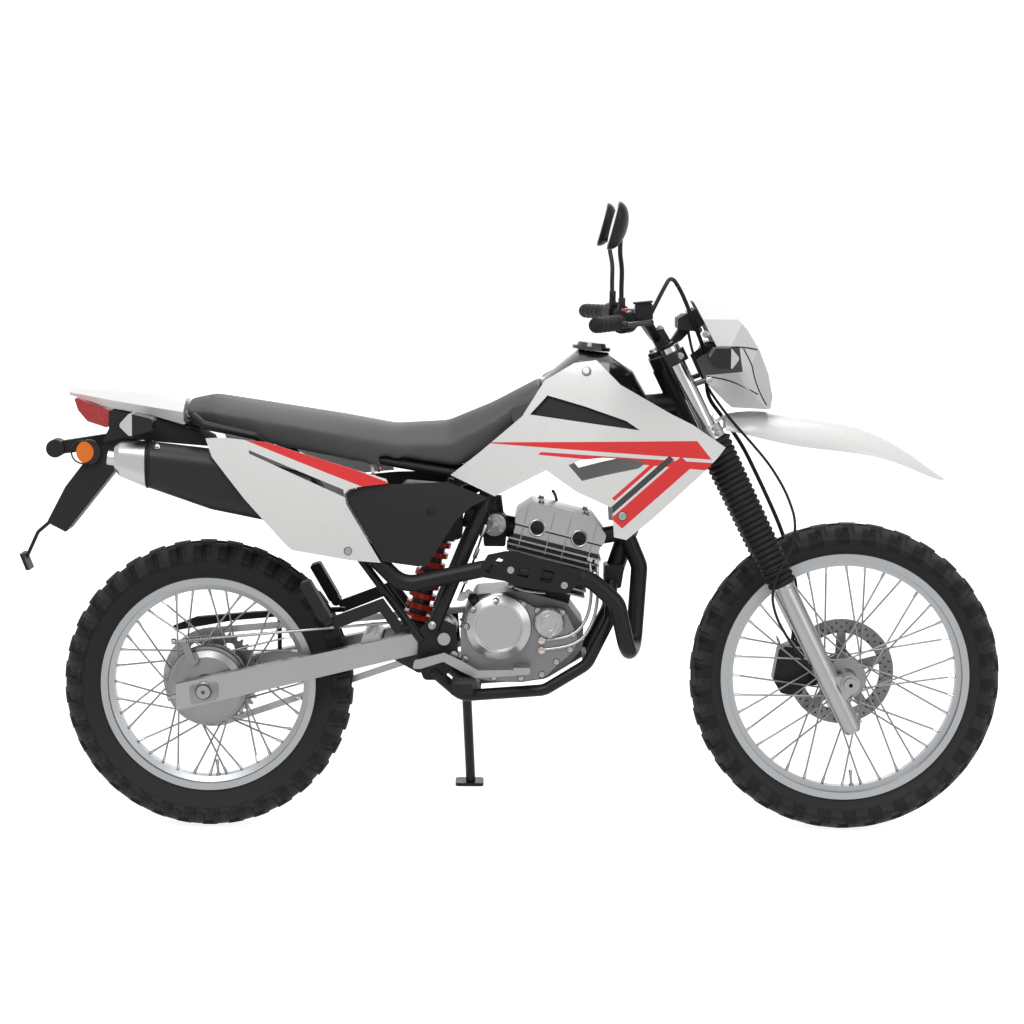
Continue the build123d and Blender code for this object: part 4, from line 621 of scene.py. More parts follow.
class Paint(Enum):
    """The plain finishes."""

    GLOSS_BLACK = Finish("gloss_black_paint", (0.008, 0.008, 0.009), 0.20, 0.0, 300.0, 0.03, 0.2, 0.6)
    SATIN_BLACK = Finish("satin_black_paint", (0.010, 0.010, 0.011), 0.38, 0.0, 500.0, 0.05, 0.25, 0.0, 0.22)
    MATT_PLASTIC = Finish("matt_black_plastic", (0.015, 0.015, 0.016), 0.52, 0.0, 1100.0, 0.10, 0.2,
                          0.0, 0.22)
    SIDE_PLASTIC = Finish("dark_grained_plastic", (0.016, 0.016, 0.017), 0.46, 0.0, 1400.0, 0.10, 0.15,
                          0.0, 0.22)
    RUBBER = Finish("moulded_rubber", (0.009, 0.009, 0.009), 0.60, 0.0, 700.0, 0.08, 0.3, 0.0, 0.22)
    RIM = Finish("anodised_rim", (0.36, 0.37, 0.38), 0.36, 1.0, 60.0, 0.004, 0.05)
    HUB = Finish("machined_hub", (0.24, 0.24, 0.245), 0.32, 1.0, 260.0, 0.05, 0.12)
    CAST = Finish("cast_alloy", (0.34, 0.34, 0.35), 0.42, 0.9, 520.0, 0.22, 0.15)
    ENGINE = Finish("engine_casting", (0.13, 0.13, 0.135), 0.46, 0.85, 480.0, 0.30, 0.22)
    COVER = Finish("engine_cover", (0.36, 0.36, 0.365), 0.34, 0.9, 420.0, 0.16, 0.12)
    CHROME = Finish("hard_chrome", (0.42, 0.42, 0.43), 0.16, 1.0, 80.0, 0.01, 0.04)
    STEEL = Finish("zinc_steel", (0.34, 0.34, 0.345), 0.30, 1.0, 300.0, 0.03, 0.15)
    HEADER = Finish("black_header", (0.016, 0.015, 0.015), 0.40, 0.3, 350.0, 0.06, 0.35, 0.0, 0.22)
    MUFFLER = Finish("heat_black", (0.013, 0.013, 0.014), 0.44, 0.2, 600.0, 0.08, 0.2, 0.0, 0.22)
    SPRING_RED = Finish("spring_red", (0.55, 0.02, 0.02), 0.28, 0.0, 300.0, 0.03, 0.15, 0.5)
    COPPER = Finish("copper_washer", (0.55, 0.27, 0.16), 0.35, 1.0, 200.0, 0.02, 0.1)
    MIRROR = Finish("mirror_silver", (0.86, 0.87, 0.88), 0.03, 1.0, 40.0, 0.002, 0.02)
    LINE_WHITE = Finish("dial_white", (0.75, 0.75, 0.74), 0.5, 0.0, 300.0, 0.01, 0.05)


class Alloy(Enum):
    """The brushed finishes."""

    SWING_ARM = Brushed("brushed_arm", (0.34, 0.34, 0.345), 0.34, 1.0, 900.0, 0.04, 0.08)
    SLIDER = Brushed("slider_alloy", (0.34, 0.34, 0.345), 0.33, 1.0, 900.0, 0.03, 0.08,
                     stretch=(1.0, 1.0, 0.05))


class Shelf:
    """Keeps each finish's material, so that it is built once."""

    def __init__(self, stance: Stance) -> None:
        """Starts with nothing built."""
        self.stance = stance
        self.made: dict[str, bpy.types.Material] = {}

    def get(self, finish: object) -> bpy.types.Material:
        """The material of a finish or of an Enum member that holds one."""
        value = finish.value if isinstance(finish, Enum) else finish
        if value.name not in self.made:
            self.made[value.name] = value.build()
        return self.made[value.name]


class Studio:
    """The camera at the photograph's viewpoint, the lamps, the world and the floor."""

    CAMERA_AT = (678.14, -5963.7, 1374.5)
    PITCH_DEG = 6.321
    ROLL_DEG = 0.345
    FOCAL_SHARE = 2684.0 / 1024.0
    SENSOR = 36.0
    WORLD_LIGHT = 0.25
    FLOOR_SIZE = 60.0
    FLOOR_GLOW = 0.88
    FLOOR_SHADE = 0.45
    FAR_CLIP = 60.0
    LAMP_AIM = Vector((0, 0, 0.55))
    LAMPS = (
        ("key", (-1.2, -3.2, 5.0), 2.6, 165.0),
        ("fill", (3.4, -3.6, 2.6), 2.4, 45.0),
        ("top", (0.2, 0.6, 5.0), 3.0, 95.0),
        ("far_side", (0.5, 4.5, 2.4), 2.6, 55.0),
    )

    def __init__(self, stance: Stance) -> None:
        """Keeps the stance."""
        self.stance = stance

    def camera(self) -> None:
        """Sets the camera up where the photograph was taken from."""
        bpy.ops.object.camera_add()
        camera = bpy.context.object
        camera.name = "photo_camera"
        camera.data.lens = self.FOCAL_SHARE * self.SENSOR
        camera.data.sensor_width = self.SENSOR
        camera.data.clip_end = self.FAR_CLIP
        look = Euler((math.radians(90 - self.PITCH_DEG), 0, 0)).to_matrix().to_4x4()
        roll = Matrix.Rotation(math.radians(self.ROLL_DEG), 4, "Z")
        place = Matrix.Translation(Vector(self.CAMERA_AT) * MM)
        camera.matrix_world = self.stance.matrix @ place @ look @ roll
        bpy.context.scene.camera = camera

    def lamp(self, name: str, place: Point, size: float, power: float) -> None:
        """A large soft lamp aimed at the machine's middle."""
        bpy.ops.object.light_add(type="AREA", location=place)
        lamp = bpy.context.object
        lamp.name = name
        lamp.data.size = size
        lamp.data.energy = power
        aim = self.LAMP_AIM - Vector(place)
        lamp.rotation_euler = aim.to_track_quat("-Z", "Y").to_euler()

    def seen(self, tree: bpy.types.NodeTree) -> bpy.types.NodeSocket:
        """1 for rays that show a surface to the camera, straight or in metal or glass."""
        path = tree.nodes.new("ShaderNodeLightPath")
        socket = path.outputs["Is Camera Ray"]
        for name in ("Is Glossy Ray", "Is Transmission Ray"):
            both = tree.nodes.new("ShaderNodeMath")
            both.operation = "MAXIMUM"
            tree.links.new(socket, both.inputs[0])
            tree.links.new(path.outputs[name], both.inputs[1])
            socket = both.outputs[0]
        return socket

    def world(self) -> None:
        """A white world behind the machine that lights it plainly."""
        world = bpy.data.worlds.new("studio_world")
        world.use_nodes = True
        bpy.context.scene.world = world
        tree = world.node_tree
        strength = tree.nodes.new("ShaderNodeMapRange")
        strength.inputs[3].default_value = self.WORLD_LIGHT
        strength.inputs[4].default_value = 1.0
        tree.links.new(self.seen(tree), strength.inputs[0])
        background = tree.nodes["Background"]
        tree.links.new(strength.outputs[0], background.inputs["Strength"])
        background.inputs["Color"].default_value = (1.0, 1.0, 1.0, 1.0)

    def floor(self) -> None:
        """The plain pale floor: a faint glow makes it white, and the machine's shadow stays on it."""
        bpy.ops.mesh.primitive_plane_add(size=self.FLOOR_SIZE, location=(0, 0, 0))
        floor = bpy.context.object
        floor.name = "studio_floor"
        shader = Shader("studio_floor")
        shader.set(Base_Color=(self.FLOOR_SHADE,) * 3, Roughness=0.9)
        tree = shader.tree
        glow = tree.nodes.new("ShaderNodeEmission")
        glow.inputs["Strength"].default_value = self.FLOOR_GLOW
        lit = tree.nodes.new("ShaderNodeAddShader")
        tree.links.new(shader.bsdf.outputs[0], lit.inputs[0])
        tree.links.new(glow.outputs[0], lit.inputs[1])
        chosen = tree.nodes.new("ShaderNodeMixShader")
        tree.links.new(self.seen(tree), chosen.inputs[0])
        tree.links.new(shader.bsdf.outputs[0], chosen.inputs[1])
        tree.links.new(lit.outputs[0], chosen.inputs[2])
        tree.links.new(chosen.outputs[0], tree.nodes["Material Output"].inputs["Surface"])
        floor.data.materials.append(shader.material)
        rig.stage(floor)

    def build(self) -> None:
        """Sets the whole studio up."""
        bpy.context.scene.view_settings.view_transform = "Standard"
        self.camera()
        self.world()
        for name, place, size, power in self.LAMPS:
            self.lamp(name, place, size, power)
        self.floor()


class Bench:
    """Modelling by operators: every piece starts as a primitive and is shaped, trimmed and joined."""

    SHARP_EDGE = 0.9
    WASHER_SHARE = 1.35
    WASHER_TOP = 1.2
    SOCKET_INSET = 0.4
    SOCKET_DEPTH = 0.6

    def __init__(self, stance: Stance, shelf: Shelf) -> None:
        """Keeps the stance and the shelf of materials."""
        self.stance = stance
        self.shelf = shelf
        self.count = 0

    def clear(self) -> None:
        """Deselects everything."""
        bpy.ops.object.select_all(action="DESELECT")

    def only(self, piece: bpy.types.Object) -> None:
        """Selects one piece and makes it active."""
        self.clear()
        piece.select_set(True)
        bpy.context.view_layer.objects.active = piece

    def settle(self, piece: bpy.types.Object, place: Matrix) -> bpy.types.Object:
        """Puts a piece's place on the upright machine into its mesh, leaned and shifted.

        Args:
            piece: A mesh drawn at the origin in metres.
            place: Its place on the upright machine.

        Returns:
            The same piece, at the origin.
        """
        piece.matrix_world = self.stance.matrix @ place
        self.only(piece)
        bpy.ops.object.transform_apply(location=True, rotation=True, scale=True)
        return piece

    def modify(self, piece: bpy.types.Object, kind: str, **settings: object) -> None:
        """Adds a modifier and applies it."""
        self.only(piece)
        modifier = piece.modifiers.new(kind.lower(), kind)
        for key, value in settings.items():
            setattr(modifier, key, value)
        bpy.ops.object.modifier_apply(modifier=modifier.name)

    def ease(self, piece: bpy.types.Object, bevel: float) -> None:
        """Breaks a piece's sharp edges, where it has a bevel."""
        if bevel:
            self.modify(piece, "BEVEL", width=bevel * MM, segments=2, limit_method="ANGLE",
                        angle_limit=self.SHARP_EDGE)

    def turned_place(self, start: Point, end: Point) -> tuple[Matrix, float]:
        """The place and length of a piece drawn along +Z between two points."""
        a, b = Vector(start) * MM, Vector(end) * MM
        turn = (b - a).to_track_quat("Z", "Y").to_matrix().to_4x4()
        return Matrix.Translation((a + b) / 2) @ turn, (b - a).length

    def bar(self, start: Point, end: Point, radius: float, sides: int = 24,
            bevel: float = 0.0, far_radius: Optional[float] = None) -> bpy.types.Object:
        """A round or many-sided bar between two places, its edges broken.

        Args:
            start: One end, in millimetres on the upright machine.
            end: The other end.
            radius: The bar's radius.
            sides: How many sides it has; 6 makes a nut.
            bevel: How far its end edges are broken.
            far_radius: The radius at the other end, where it tapers.

        Returns:
            The bar, with its place in its mesh.
        """
        place, length = self.turned_place(start, end)
        far = radius if far_radius is None else far_radius
        self.clear()
        bpy.ops.mesh.primitive_cone_add(vertices=sides, radius1=radius * MM, radius2=far * MM,
                                        depth=length, end_fill_type="NGON")
        piece = bpy.context.object
        self.ease(piece, bevel)
        return self.settle(piece, place)

    def ring(self, centre: Point, axis: Point, major: float, minor: float,
             sides: int = 40, round_sides: int = 10) -> bpy.types.Object:
        """A round ring about an axis through a place."""
        self.clear()
        bpy.ops.mesh.primitive_torus_add(major_radius=major * MM, minor_radius=minor * MM,
                                         major_segments=sides, minor_segments=round_sides)
        piece = bpy.context.object
        turn = Vector(axis).to_track_quat("Z", "Y").to_matrix().to_4x4()
        return self.settle(piece, Matrix.Translation(Vector(centre) * MM) @ turn)

    def plate(self, points: Iterable[Point], y_from: float, y_to: float,
              bevel: float = 0.6) -> bpy.types.Object:
        """A flat plate: an (x, z) outline extruded across the machine in edit mode.

        Args:
            points: The outline, in millimetres on the upright machine.
            y_from: One face.
            y_to: The other face.
            bevel: How far its edges are broken.

        Returns:
            The plate, with its place in its mesh.
        """
        outline = [Vector((x, y_from, z)) * MM for x, z in points]
        self.clear()
        bpy.ops.mesh.primitive_circle_add(vertices=len(outline), radius=1.0, fill_type="NGON")
        piece = bpy.context.object
        for vertex, place in zip(piece.data.vertices, outline):
            vertex.co = place
        bpy.ops.object.mode_set(mode="EDIT")
        bpy.ops.mesh.select_all(action="SELECT")
        bpy.ops.mesh.extrude_region_move(TRANSFORM_OT_translate={"value": (0, (y_to - y_from) * MM, 0)})
        bpy.ops.mesh.select_all(action="SELECT")
        bpy.ops.mesh.normals_make_consistent(inside=False)
        bpy.ops.object.mode_set(mode="OBJECT")
        self.ease(piece, bevel)
        return self.settle(piece, Matrix.Identity(4))

    def pipe(self, points: Sequence[Point], radius: float, sides: int = 6) -> bpy.types.Object:
        """A smooth bent pipe through places, from a curve turned into a mesh."""
        self.clear()
        bpy.ops.curve.primitive_nurbs_path_add()
        curve = bpy.context.object
        spline = curve.data.splines[0]
        while len(spline.points) < len(points):
            spline.points.add(1)
        chosen = list(points) + [points[-1]] * (len(spline.points) - len(points))
        for spot, place in zip(spline.points, chosen):
            spot.co = (*(Vector(place) * MM), 1.0)
        spline.order_u = 3
        spline.use_endpoint_u = True
        spline.resolution_u = 6
        curve.data.bevel_depth = radius * MM
        curve.data.bevel_resolution = sides
        curve.data.use_fill_caps = True
        self.only(curve)
        bpy.ops.object.convert(target="MESH")
        return self.settle(bpy.context.object, Matrix.Identity(4))

    def bolt(self, centre: Point, axis: Point, radius: float = 6.0, height: float = 4.0,
             hexagon: bool = True) -> bpy.types.Object:
        """A bolt's head on a washer, standing out along an axis.

        Args:
            centre: The place on the surface it sits on.
            axis: The way its head stands out.
            radius: The head's radius.
            height: The head's height.
            hexagon: Whether it has a hexagon head or a round one with a socket.

        Returns:
            The bolt, with its place in its mesh.
        """
        way = Vector(axis).normalized()
        base = Vector(centre)
        washer = self.bar(base - way, base + way * self.WASHER_TOP, radius * self.WASHER_SHARE, 24, 0.3)
        top_place = base + way * (self.WASHER_TOP + height)
        head = self.bar(base + way, top_place, radius, 6 if hexagon else 24, 0.5)
        parts = [washer, head]
        if not hexagon:
            self.only(head)
            bpy.ops.object.mode_set(mode="EDIT")
            bpy.ops.mesh.select_all(action="DESELECT")
            bpy.ops.object.mode_set(mode="OBJECT")
            normal = (self.stance.matrix.to_3x3() @ way).normalized()
            top = max(head.data.polygons, key=lambda face: face.center.dot(normal))
            top.select = True
            bpy.ops.object.mode_set(mode="EDIT")
            bpy.ops.mesh.inset(thickness=radius * self.SOCKET_INSET * MM)
            bpy.ops.mesh.extrude_region_move(
                TRANSFORM_OT_translate={"value": tuple(-normal * height * self.SOCKET_DEPTH * MM)})
            bpy.ops.object.mode_set(mode="OBJECT")
        return self.join(parts)

    def join(self, parts: Sequence[bpy.types.Object]) -> bpy.types.Object:
        """Joins meshes into one object."""
        self.clear()
        for part in parts:
            part.select_set(True)
        bpy.context.view_layer.objects.active = parts[0]
        if len(parts) > 1:
            bpy.ops.object.join()
        return bpy.context.object

    def dress(self, parts: Sequence[bpy.types.Object], name: str, body: Body, finish: object,
              slot: str, angle: float = 35.0) -> bpy.types.Object:
        """Joins, names, finishes and seats a piece on its body.

        Args:
            parts: The meshes it is made of.
            name: Its name.
            body: What it moves with.
            finish: Its finish.
            slot: The record's material slot.
            angle: Edges flatter than this are shaded smooth.

        Returns:
            The finished piece.
        """
        piece = self.join(list(parts))
        piece.name = name
        piece.data.name = name
        piece.data.materials.clear()
        piece.data.materials.append(self.shelf.get(finish))
        self.only(piece)
        bpy.ops.object.shade_smooth_by_angle(angle=math.radians(angle))
        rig.ride(piece, body.value)
        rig.slot(piece, slot)
        self.count += 1
        LOG.info("%s: %d faces", name, len(piece.data.polygons))
        return piece


class Skin:
    """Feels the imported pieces' surfaces, so that what is added sits on them."""

    REACH = 700.0

    def __init__(self, nodes: dict, stance: Stance) -> None:
        """Keeps the nodes and both directions of the stance."""
        self.nodes = nodes
        self.stance = stance
        self.back = stance.matrix.inverted()

    def touch(self, node: Union[str, bpy.types.Object], x: float, z: float,
              side: Side) -> tuple[Vector, Vector]:
        """Where a line across the machine meets a piece from one side.

        Args:
            node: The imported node's name, or any mesh.
            x: Ahead of the rear axle.
            z: Above the ground.
            side: The side that the line comes from.

        Returns:
            The place on the upright machine and the surface's outward normal there.
        """
        piece = self.nodes[node] if isinstance(node, str) else node
        start = self.stance.at(x, side.value * self.REACH, z)
        way = self.stance.matrix.to_3x3() @ Vector((0, -side.value, 0))
        graph = bpy.context.evaluated_depsgraph_get()
        hit, place, normal, _ = piece.ray_cast(start, way, depsgraph=graph)
        if not hit:
            raise LookupError(f"no surface of {piece.name} at {x:.0f}, {z:.0f}")
        return (self.back @ place) / MM, (self.back.to_3x3() @ normal).normalized()

    def span(self, node: str) -> tuple[Vector, Vector]:
        """A node's lowest and highest corners on the upright machine."""
        places = [(self.back @ vertex.co) / MM for vertex in self.nodes[node].data.vertices]
        low = Vector(min(place[axis] for place in places) for axis in range(3))
        high = Vector(max(place[axis] for place in places) for axis in range(3))
        return low, high


Tone = tuple[Colour, float, float]


@dataclass(frozen=True)
class Zoned:
    """A piece whose real parts have several finishes, told apart by their place on the machine; a zone can also be
    painted shade.

    Fields: its name, the stance, the base tone, the zones, the grain's scale and its clear coat. A
    tone is a colour, a roughness and a metallic value. A zone is its tone and a function of x, y
    and z that gives 0 to 1.
    """

    name: str
    stance: Stance
    base: Tone
    zones: tuple[tuple[Tone, Callable[[Val, Val, Val], Val]], ...]
    grain: float = 520.0
    coat: float = 0.0

    def build(self) -> bpy.types.Material:
        """Makes the material by laying each zone over the last."""
        shader = Shader(self.name)
        place = shader.upright(self.stance)
        cloud = shader.noise(12.0, 3.0)
        colour, rough, metal = self.base
        shade = shader.mix(cloud, dimmed(colour, 0.9), colour)
        for (zone_colour, zone_rough, zone_metal), region in self.zones:
            mask = region(*place)
            shade = shader.mix(mask, shade, zone_colour)
            rough = rough * (1 - mask) + zone_rough * mask
            metal = metal * (1 - mask) + zone_metal * mask
        shader.set(
            Base_Color=shade,
            Roughness=rough * (0.88 + 0.24 * shader.noise(45.0)),
            Metallic=metal,
            Normal=shader.bump(shader.noise(self.grain, 2.0), 0.4, 0.08),
            Specular_IOR_Level=0.5 if self.coat else 0.3,
        )
        if self.coat:
            shader.set(Coat_Weight=self.coat)
        return shader.material


class NodeDresser:
    """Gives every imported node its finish."""

    SMOOTH_DEG = 38.0
    SHOCK_FOOT = (445.0, 404.0)
    SHOCK_WAY = (0.2697, 0.9629)
    DAMPER_R = 23.0
    COIL_SPAN = (67.0, 261.0)
    REFLECTOR_AT = (-270.0, 848.0)
    REFLECTOR_R = 27.5
    GASKET_HALF = 1.6
    FIN_EDGE_Y = 74.5
    FIN_TOP = 136.0

    def __init__(self, frame: dict, bench: Bench) -> None:
        """Keeps the frame's nodes and the bench."""
        self.nodes = frame["nodes"]
        self.bench = bench
        self.stance = bench.stance

    def wear(self, names: str, finish: object) -> None:
        """Puts a finish on nodes, whose names have spaces between them."""
        material = self.bench.shelf.get(finish)
        for name in names.split():
            node = self.nodes[name]
            node.data.materials.clear()
            node.data.materials.append(material)
            self.bench.only(node)
            bpy.ops.object.shade_smooth_by_angle(angle=math.radians(self.SMOOTH_DEG))
            LOG.info("%s wears %s", name, material.name)

    def bands(self) -> tuple[tuple, tuple]:
        """The swept bands of the shrouds and of the side panels."""
        red: Colour = (0.72, 0.012, 0.014)
        dark: Colour = (0.02, 0.02, 0.022)
        shroud = (
            (red, (916.0, -0.060), (868.0, 0.020), (610.0, 0.0), (1790.0, -0.80)),
            (red, (915.0, -0.081), (900.0, -0.052), (-250.0, 1.15), (1120.0, 0.0)),
            (red, (-128.0, 0.90), (-84.0, 0.90), (1685.0, -1.10), (1985.0, -1.10)),
            (dark, (-77.0, 0.90), (-60.0, 0.90), (1700.0, -1.10), (1962.0, -1.10)),
            (red, (-53.0, 0.90), (-42.0, 0.90), (1735.0, -1.10), (1925.0, -1.10)),
        )
        panel = (
            (red, (925.0, -0.395), (956.0, -0.395), (60.0, 0.0), (2000.0, 0.0)),
        )
        return shroud, panel

    def coil(self, x: Val, y: Val, z: Val) -> Val:
        """1 on the shock's spring, 0 on the damper inside it and on the collars."""
        way_x, way_z = self.SHOCK_WAY
        ahead, above = x - self.SHOCK_FOOT[0], z - self.SHOCK_FOOT[1]
        along = ahead * way_x + above * way_z
        off = ahead * way_z - above * way_x
        reach = (off * off + y * y).power(0.5)
        low, high = self.COIL_SPAN
        return (reach > self.DAMPER_R) * (along > low) * (along < high)

    def round_lens(self, x: Val, _: Val, z: Val) -> Val:
        """1 on the round side reflectors."""
        ahead, above = x - self.REFLECTOR_AT[0], z - self.REFLECTOR_AT[1]
        return (ahead * ahead + above * above) < self.REFLECTOR_R ** 2

    def up_cylinder(self, x: Val, z: Val) -> Val:
        """How far up the tilted cylinder a place is."""
        ahead, above = x - CYLINDER_FOOT[0], z - CYLINDER_FOOT[1]
        return ahead * math.sin(CYLINDER_TILT) + above * math.cos(CYLINDER_TILT)

    def gasket(self, x: Val, _: Val, z: Val) -> Val:
        """1 on the dark line where the cam cover meets the head."""
        return abs(self.up_cylinder(x, z) - GASKET_HEIGHT) < self.GASKET_HALF

    def fin_roots(self, x: Val, y: Val, z: Val) -> Val:
        """1 on the castings' walls between the fins, which take painted shade."""
        return (abs(y) < self.FIN_EDGE_Y) * (self.up_cylinder(x, z) < self.FIN_TOP)

    def side_lens(self, x: Val, _: Val, z: Val) -> Val:
        """1 where the clear lens wraps round the cowl's side."""
        edge = 1202.0 + abs(z - 1052.0) * 0.36
        return (x > edge) * (z > 956.0) * (z < 1090.0 - (x - 1180.0) * 0.12)

    def signal_pocket(self, x: Val, _: Val, z: Val) -> Val:
        """1 in the dark pocket that the turn signal stands in."""
        return (x < 1180.0 - (z - 1040.0) * 0.15) * (z > 1028.0 + (x - 1100.0) * 0.10) * (z < 1092.0)

    def zoned(self) -> dict[str, Zoned]:
        """The nodes whose real pieces have several finishes, by node name; the walls between the fins take painted
        shade.
        """
        black: Tone = ((0.010, 0.010, 0.011), 0.36, 0.0)
        deep: Tone = ((0.006, 0.006, 0.006), 0.60, 0.0)
        clear: Tone = ((0.60, 0.61, 0.62), 0.08, 0.0)
        amber: Tone = ((0.85, 0.20, 0.02), 0.18, 0.0)
        silver: Tone = ((0.38, 0.38, 0.385), 0.33, 0.9)
        white: Tone = ((0.74, 0.74, 0.73), 0.24, 0.0)
        damper: Tone = ((0.03, 0.03, 0.03), 0.35, 0.2)
        spring: Tone = ((0.62, 0.03, 0.015), 0.26, 0.0)
        can: Tone = ((0.013, 0.013, 0.014), 0.44, 0.1)
        tip: Tone = ((0.46, 0.46, 0.47), 0.33, 1.0)
        clamp: Tone = ((0.42, 0.42, 0.43), 0.30, 1.0)
        head_shade: Tone = ((0.03, 0.03, 0.03), 0.5, 0.6)
        barrel: Tone = ((0.26, 0.26, 0.265), 0.4, 0.85)
        barrel_shade: Tone = ((0.02, 0.02, 0.02), 0.5, 0.6)
        case: Tone = ((0.20, 0.20, 0.205), 0.40, 0.85)
        cap: Tone = ((0.37, 0.37, 0.375), 0.30, 0.95)
        tip_lens = (clear, lambda x, y, z: (x < -146.0) * (x > -240.0) * (z > 893.0))
        made = (
            ("rear_shock", "shock_paint", damper, ((spring, self.coil),)),
            ("front_signals", "front_signal_lens", black, ((clear, lambda x, y, z: x > 1147.0),)),
            ("rear_lamps", "rear_lamp_lenses", black, ((amber, self.round_lens), tip_lens)),
            ("muffler", "muffler_shells", can, ((tip, lambda x, y, z: x < -119.6),)),
            ("triple_clamps", "clamp_castings", clamp, ((black, lambda x, y, z: z > 990.0),)),
            # The walls between the head's and the cylinder's fins are darkened: painted shade.
            ("cylinder_head", "head_casting", silver, ((head_shade, self.fin_roots), (deep, self.gasket))),
            ("cylinder", "barrel_casting", barrel, ((barrel_shade, self.fin_roots),)),
            ("engine_covers", "cover_castings", case, ((cap, lambda x, y, z: abs(y) > 113.5),)),
        )
        zoned = {node: Zoned(name, self.stance, base, zones) for node, name, base, zones in made}
        cowl_zones = ((clear, self.side_lens), (deep, self.signal_pocket),
                      (black, lambda x, y, z: (x < 1101.0) * (z < 1036.0)))
        zoned["headlight_cowl"] = Zoned("cowl_plastic", self.stance, white, cowl_zones, 170.0, 0.35)
        return zoned

    def build(self) -> None:
        """Finishes every node."""
        shroud_bands, panel_bands = self.bands()
        self.wear("front_tyre", TyreRubber("front_tyre_rubber", FRONT_AXLE, FRONT_TYRE_R, self.stance))
        self.wear("rear_tyre", TyreRubber("rear_tyre_rubber", REAR_AXLE, REAR_TYRE_R, self.stance))
        self.wear("front_rim rear_rim", Paint.RIM)
        self.wear("front_hub rear_hub rear_brake_panel", Paint.HUB)
        self.wear("front_brake_disc", DiscSteel("front_disc_steel", FRONT_AXLE, self.stance))
        self.wear("rear_sprocket front_axle axle_bolts drive_chain foot_controls", Paint.STEEL)
        self.wear("fork_tubes", Paint.CHROME)
        self.wear("fork_sliders", Alloy.SLIDER)
        self.wear("front_caliper handlebar mirrors bar_controls", Paint.SATIN_BLACK)
        self.wear("fork_gaiters grips brake_hose meter_cable", Paint.RUBBER)
        self.wear("front_fender tail_cowl", PanelPlastic("white_plastic", self.stance))
        self.wear("shrouds", PanelPlastic("shroud_plastic", self.stance, shroud_bands))
        self.wear("side_panels", PanelPlastic("side_plastic", self.stance, panel_bands))
        self.wear("headlight_lens", Lens("clear_lens", (0.93, 0.95, 0.96), 0.94))
        self.wear("tail_light", Lens("red_lens", (0.60, 0.010, 0.012), 0.15, 150.0))
        self.wear("instrument rear_fender chain_guard shroud_backings intake foot_pegs", Paint.MATT_PLASTIC)
        self.wear("side_covers", Paint.SIDE_PLASTIC)
        self.wear("frame_main frame_cradle subframe side_stand grab_rails", Paint.SATIN_BLACK)
        self.wear("swing_arm", Alloy.SWING_ARM)
        self.wear("crankcase", Paint.ENGINE)
        self.wear("exhaust_pipe", Paint.HEADER)
        self.wear("heat_shield", Paint.MUFFLER)
        self.wear("fuel_tank fuel_cap", Paint.GLOSS_BLACK)
        for name, finish in self.zoned().items():
            self.wear(name, finish)


@dataclass
class Seat:
    """The long two-person seat: one padded piece with a vinyl cover."""

    bench: Bench
    voxel: float = 6.0
    smoothing: int = 14

    @dataclass(frozen=True)
    class Vinyl:
        """Grained black vinyl with a soft sheen."""

        name: str = "seat_vinyl"

        def build(self) -> bpy.types.Material:
            """Makes the vinyl from a fine pebbled grain."""
            shader = Shader(self.name)
            pebbles = shader.cells(900.0)
            cloud = shader.noise(7.0, 3.0)
            shader.set(
                Base_Color=shader.mix(cloud, (0.040, 0.040, 0.041), (0.056, 0.056, 0.057)),
                Roughness=0.50 + 0.14 * pebbles,
                Normal=shader.bump(pebbles + cloud * 0.5, 0.45, 0.25),
            )
            return shader.material

    def build(self, nodes: dict) -> None:
        """Rounds a copy of the seat's solid into an upholstered form."""
        source = nodes["seat"]
        self.bench.only(source)
        bpy.ops.object.duplicate()
        cover = bpy.context.object
        bpy.ops.object.mode_set(mode="EDIT")
        bpy.ops.mesh.select_all(action="SELECT")
        bpy.ops.mesh.remove_doubles(threshold=SAME_POINT * MM)
        bpy.ops.object.mode_set(mode="OBJECT")
        self.bench.modify(cover, "REMESH", mode="VOXEL", voxel_size=self.voxel * MM)
        self.bench.modify(cover, "SMOOTH", factor=0.5, iterations=self.smoothing)
        self.bench.modify(cover, "SUBSURF", levels=1, render_levels=1)
        piece = self.bench.dress([cover], "seat_cushion", Body.CHASSIS, Seat.Vinyl(), "seat_cover", 60.0)
        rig.padded(piece, fill=0.8)
        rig.replaces(piece, "seat")


@dataclass(frozen=True)
class Screws:
    """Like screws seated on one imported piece.

    Fields: their name, body, node, side, finish, head radius, head height, whether the head is a
    hexagon, and their places as (x, z).
    """

    name: str
    body: Body
    node: str
    side: Side
    finish: object
    radius: float
    height: float
    hexagon: bool
    places: tuple[tuple[float, float], ...]


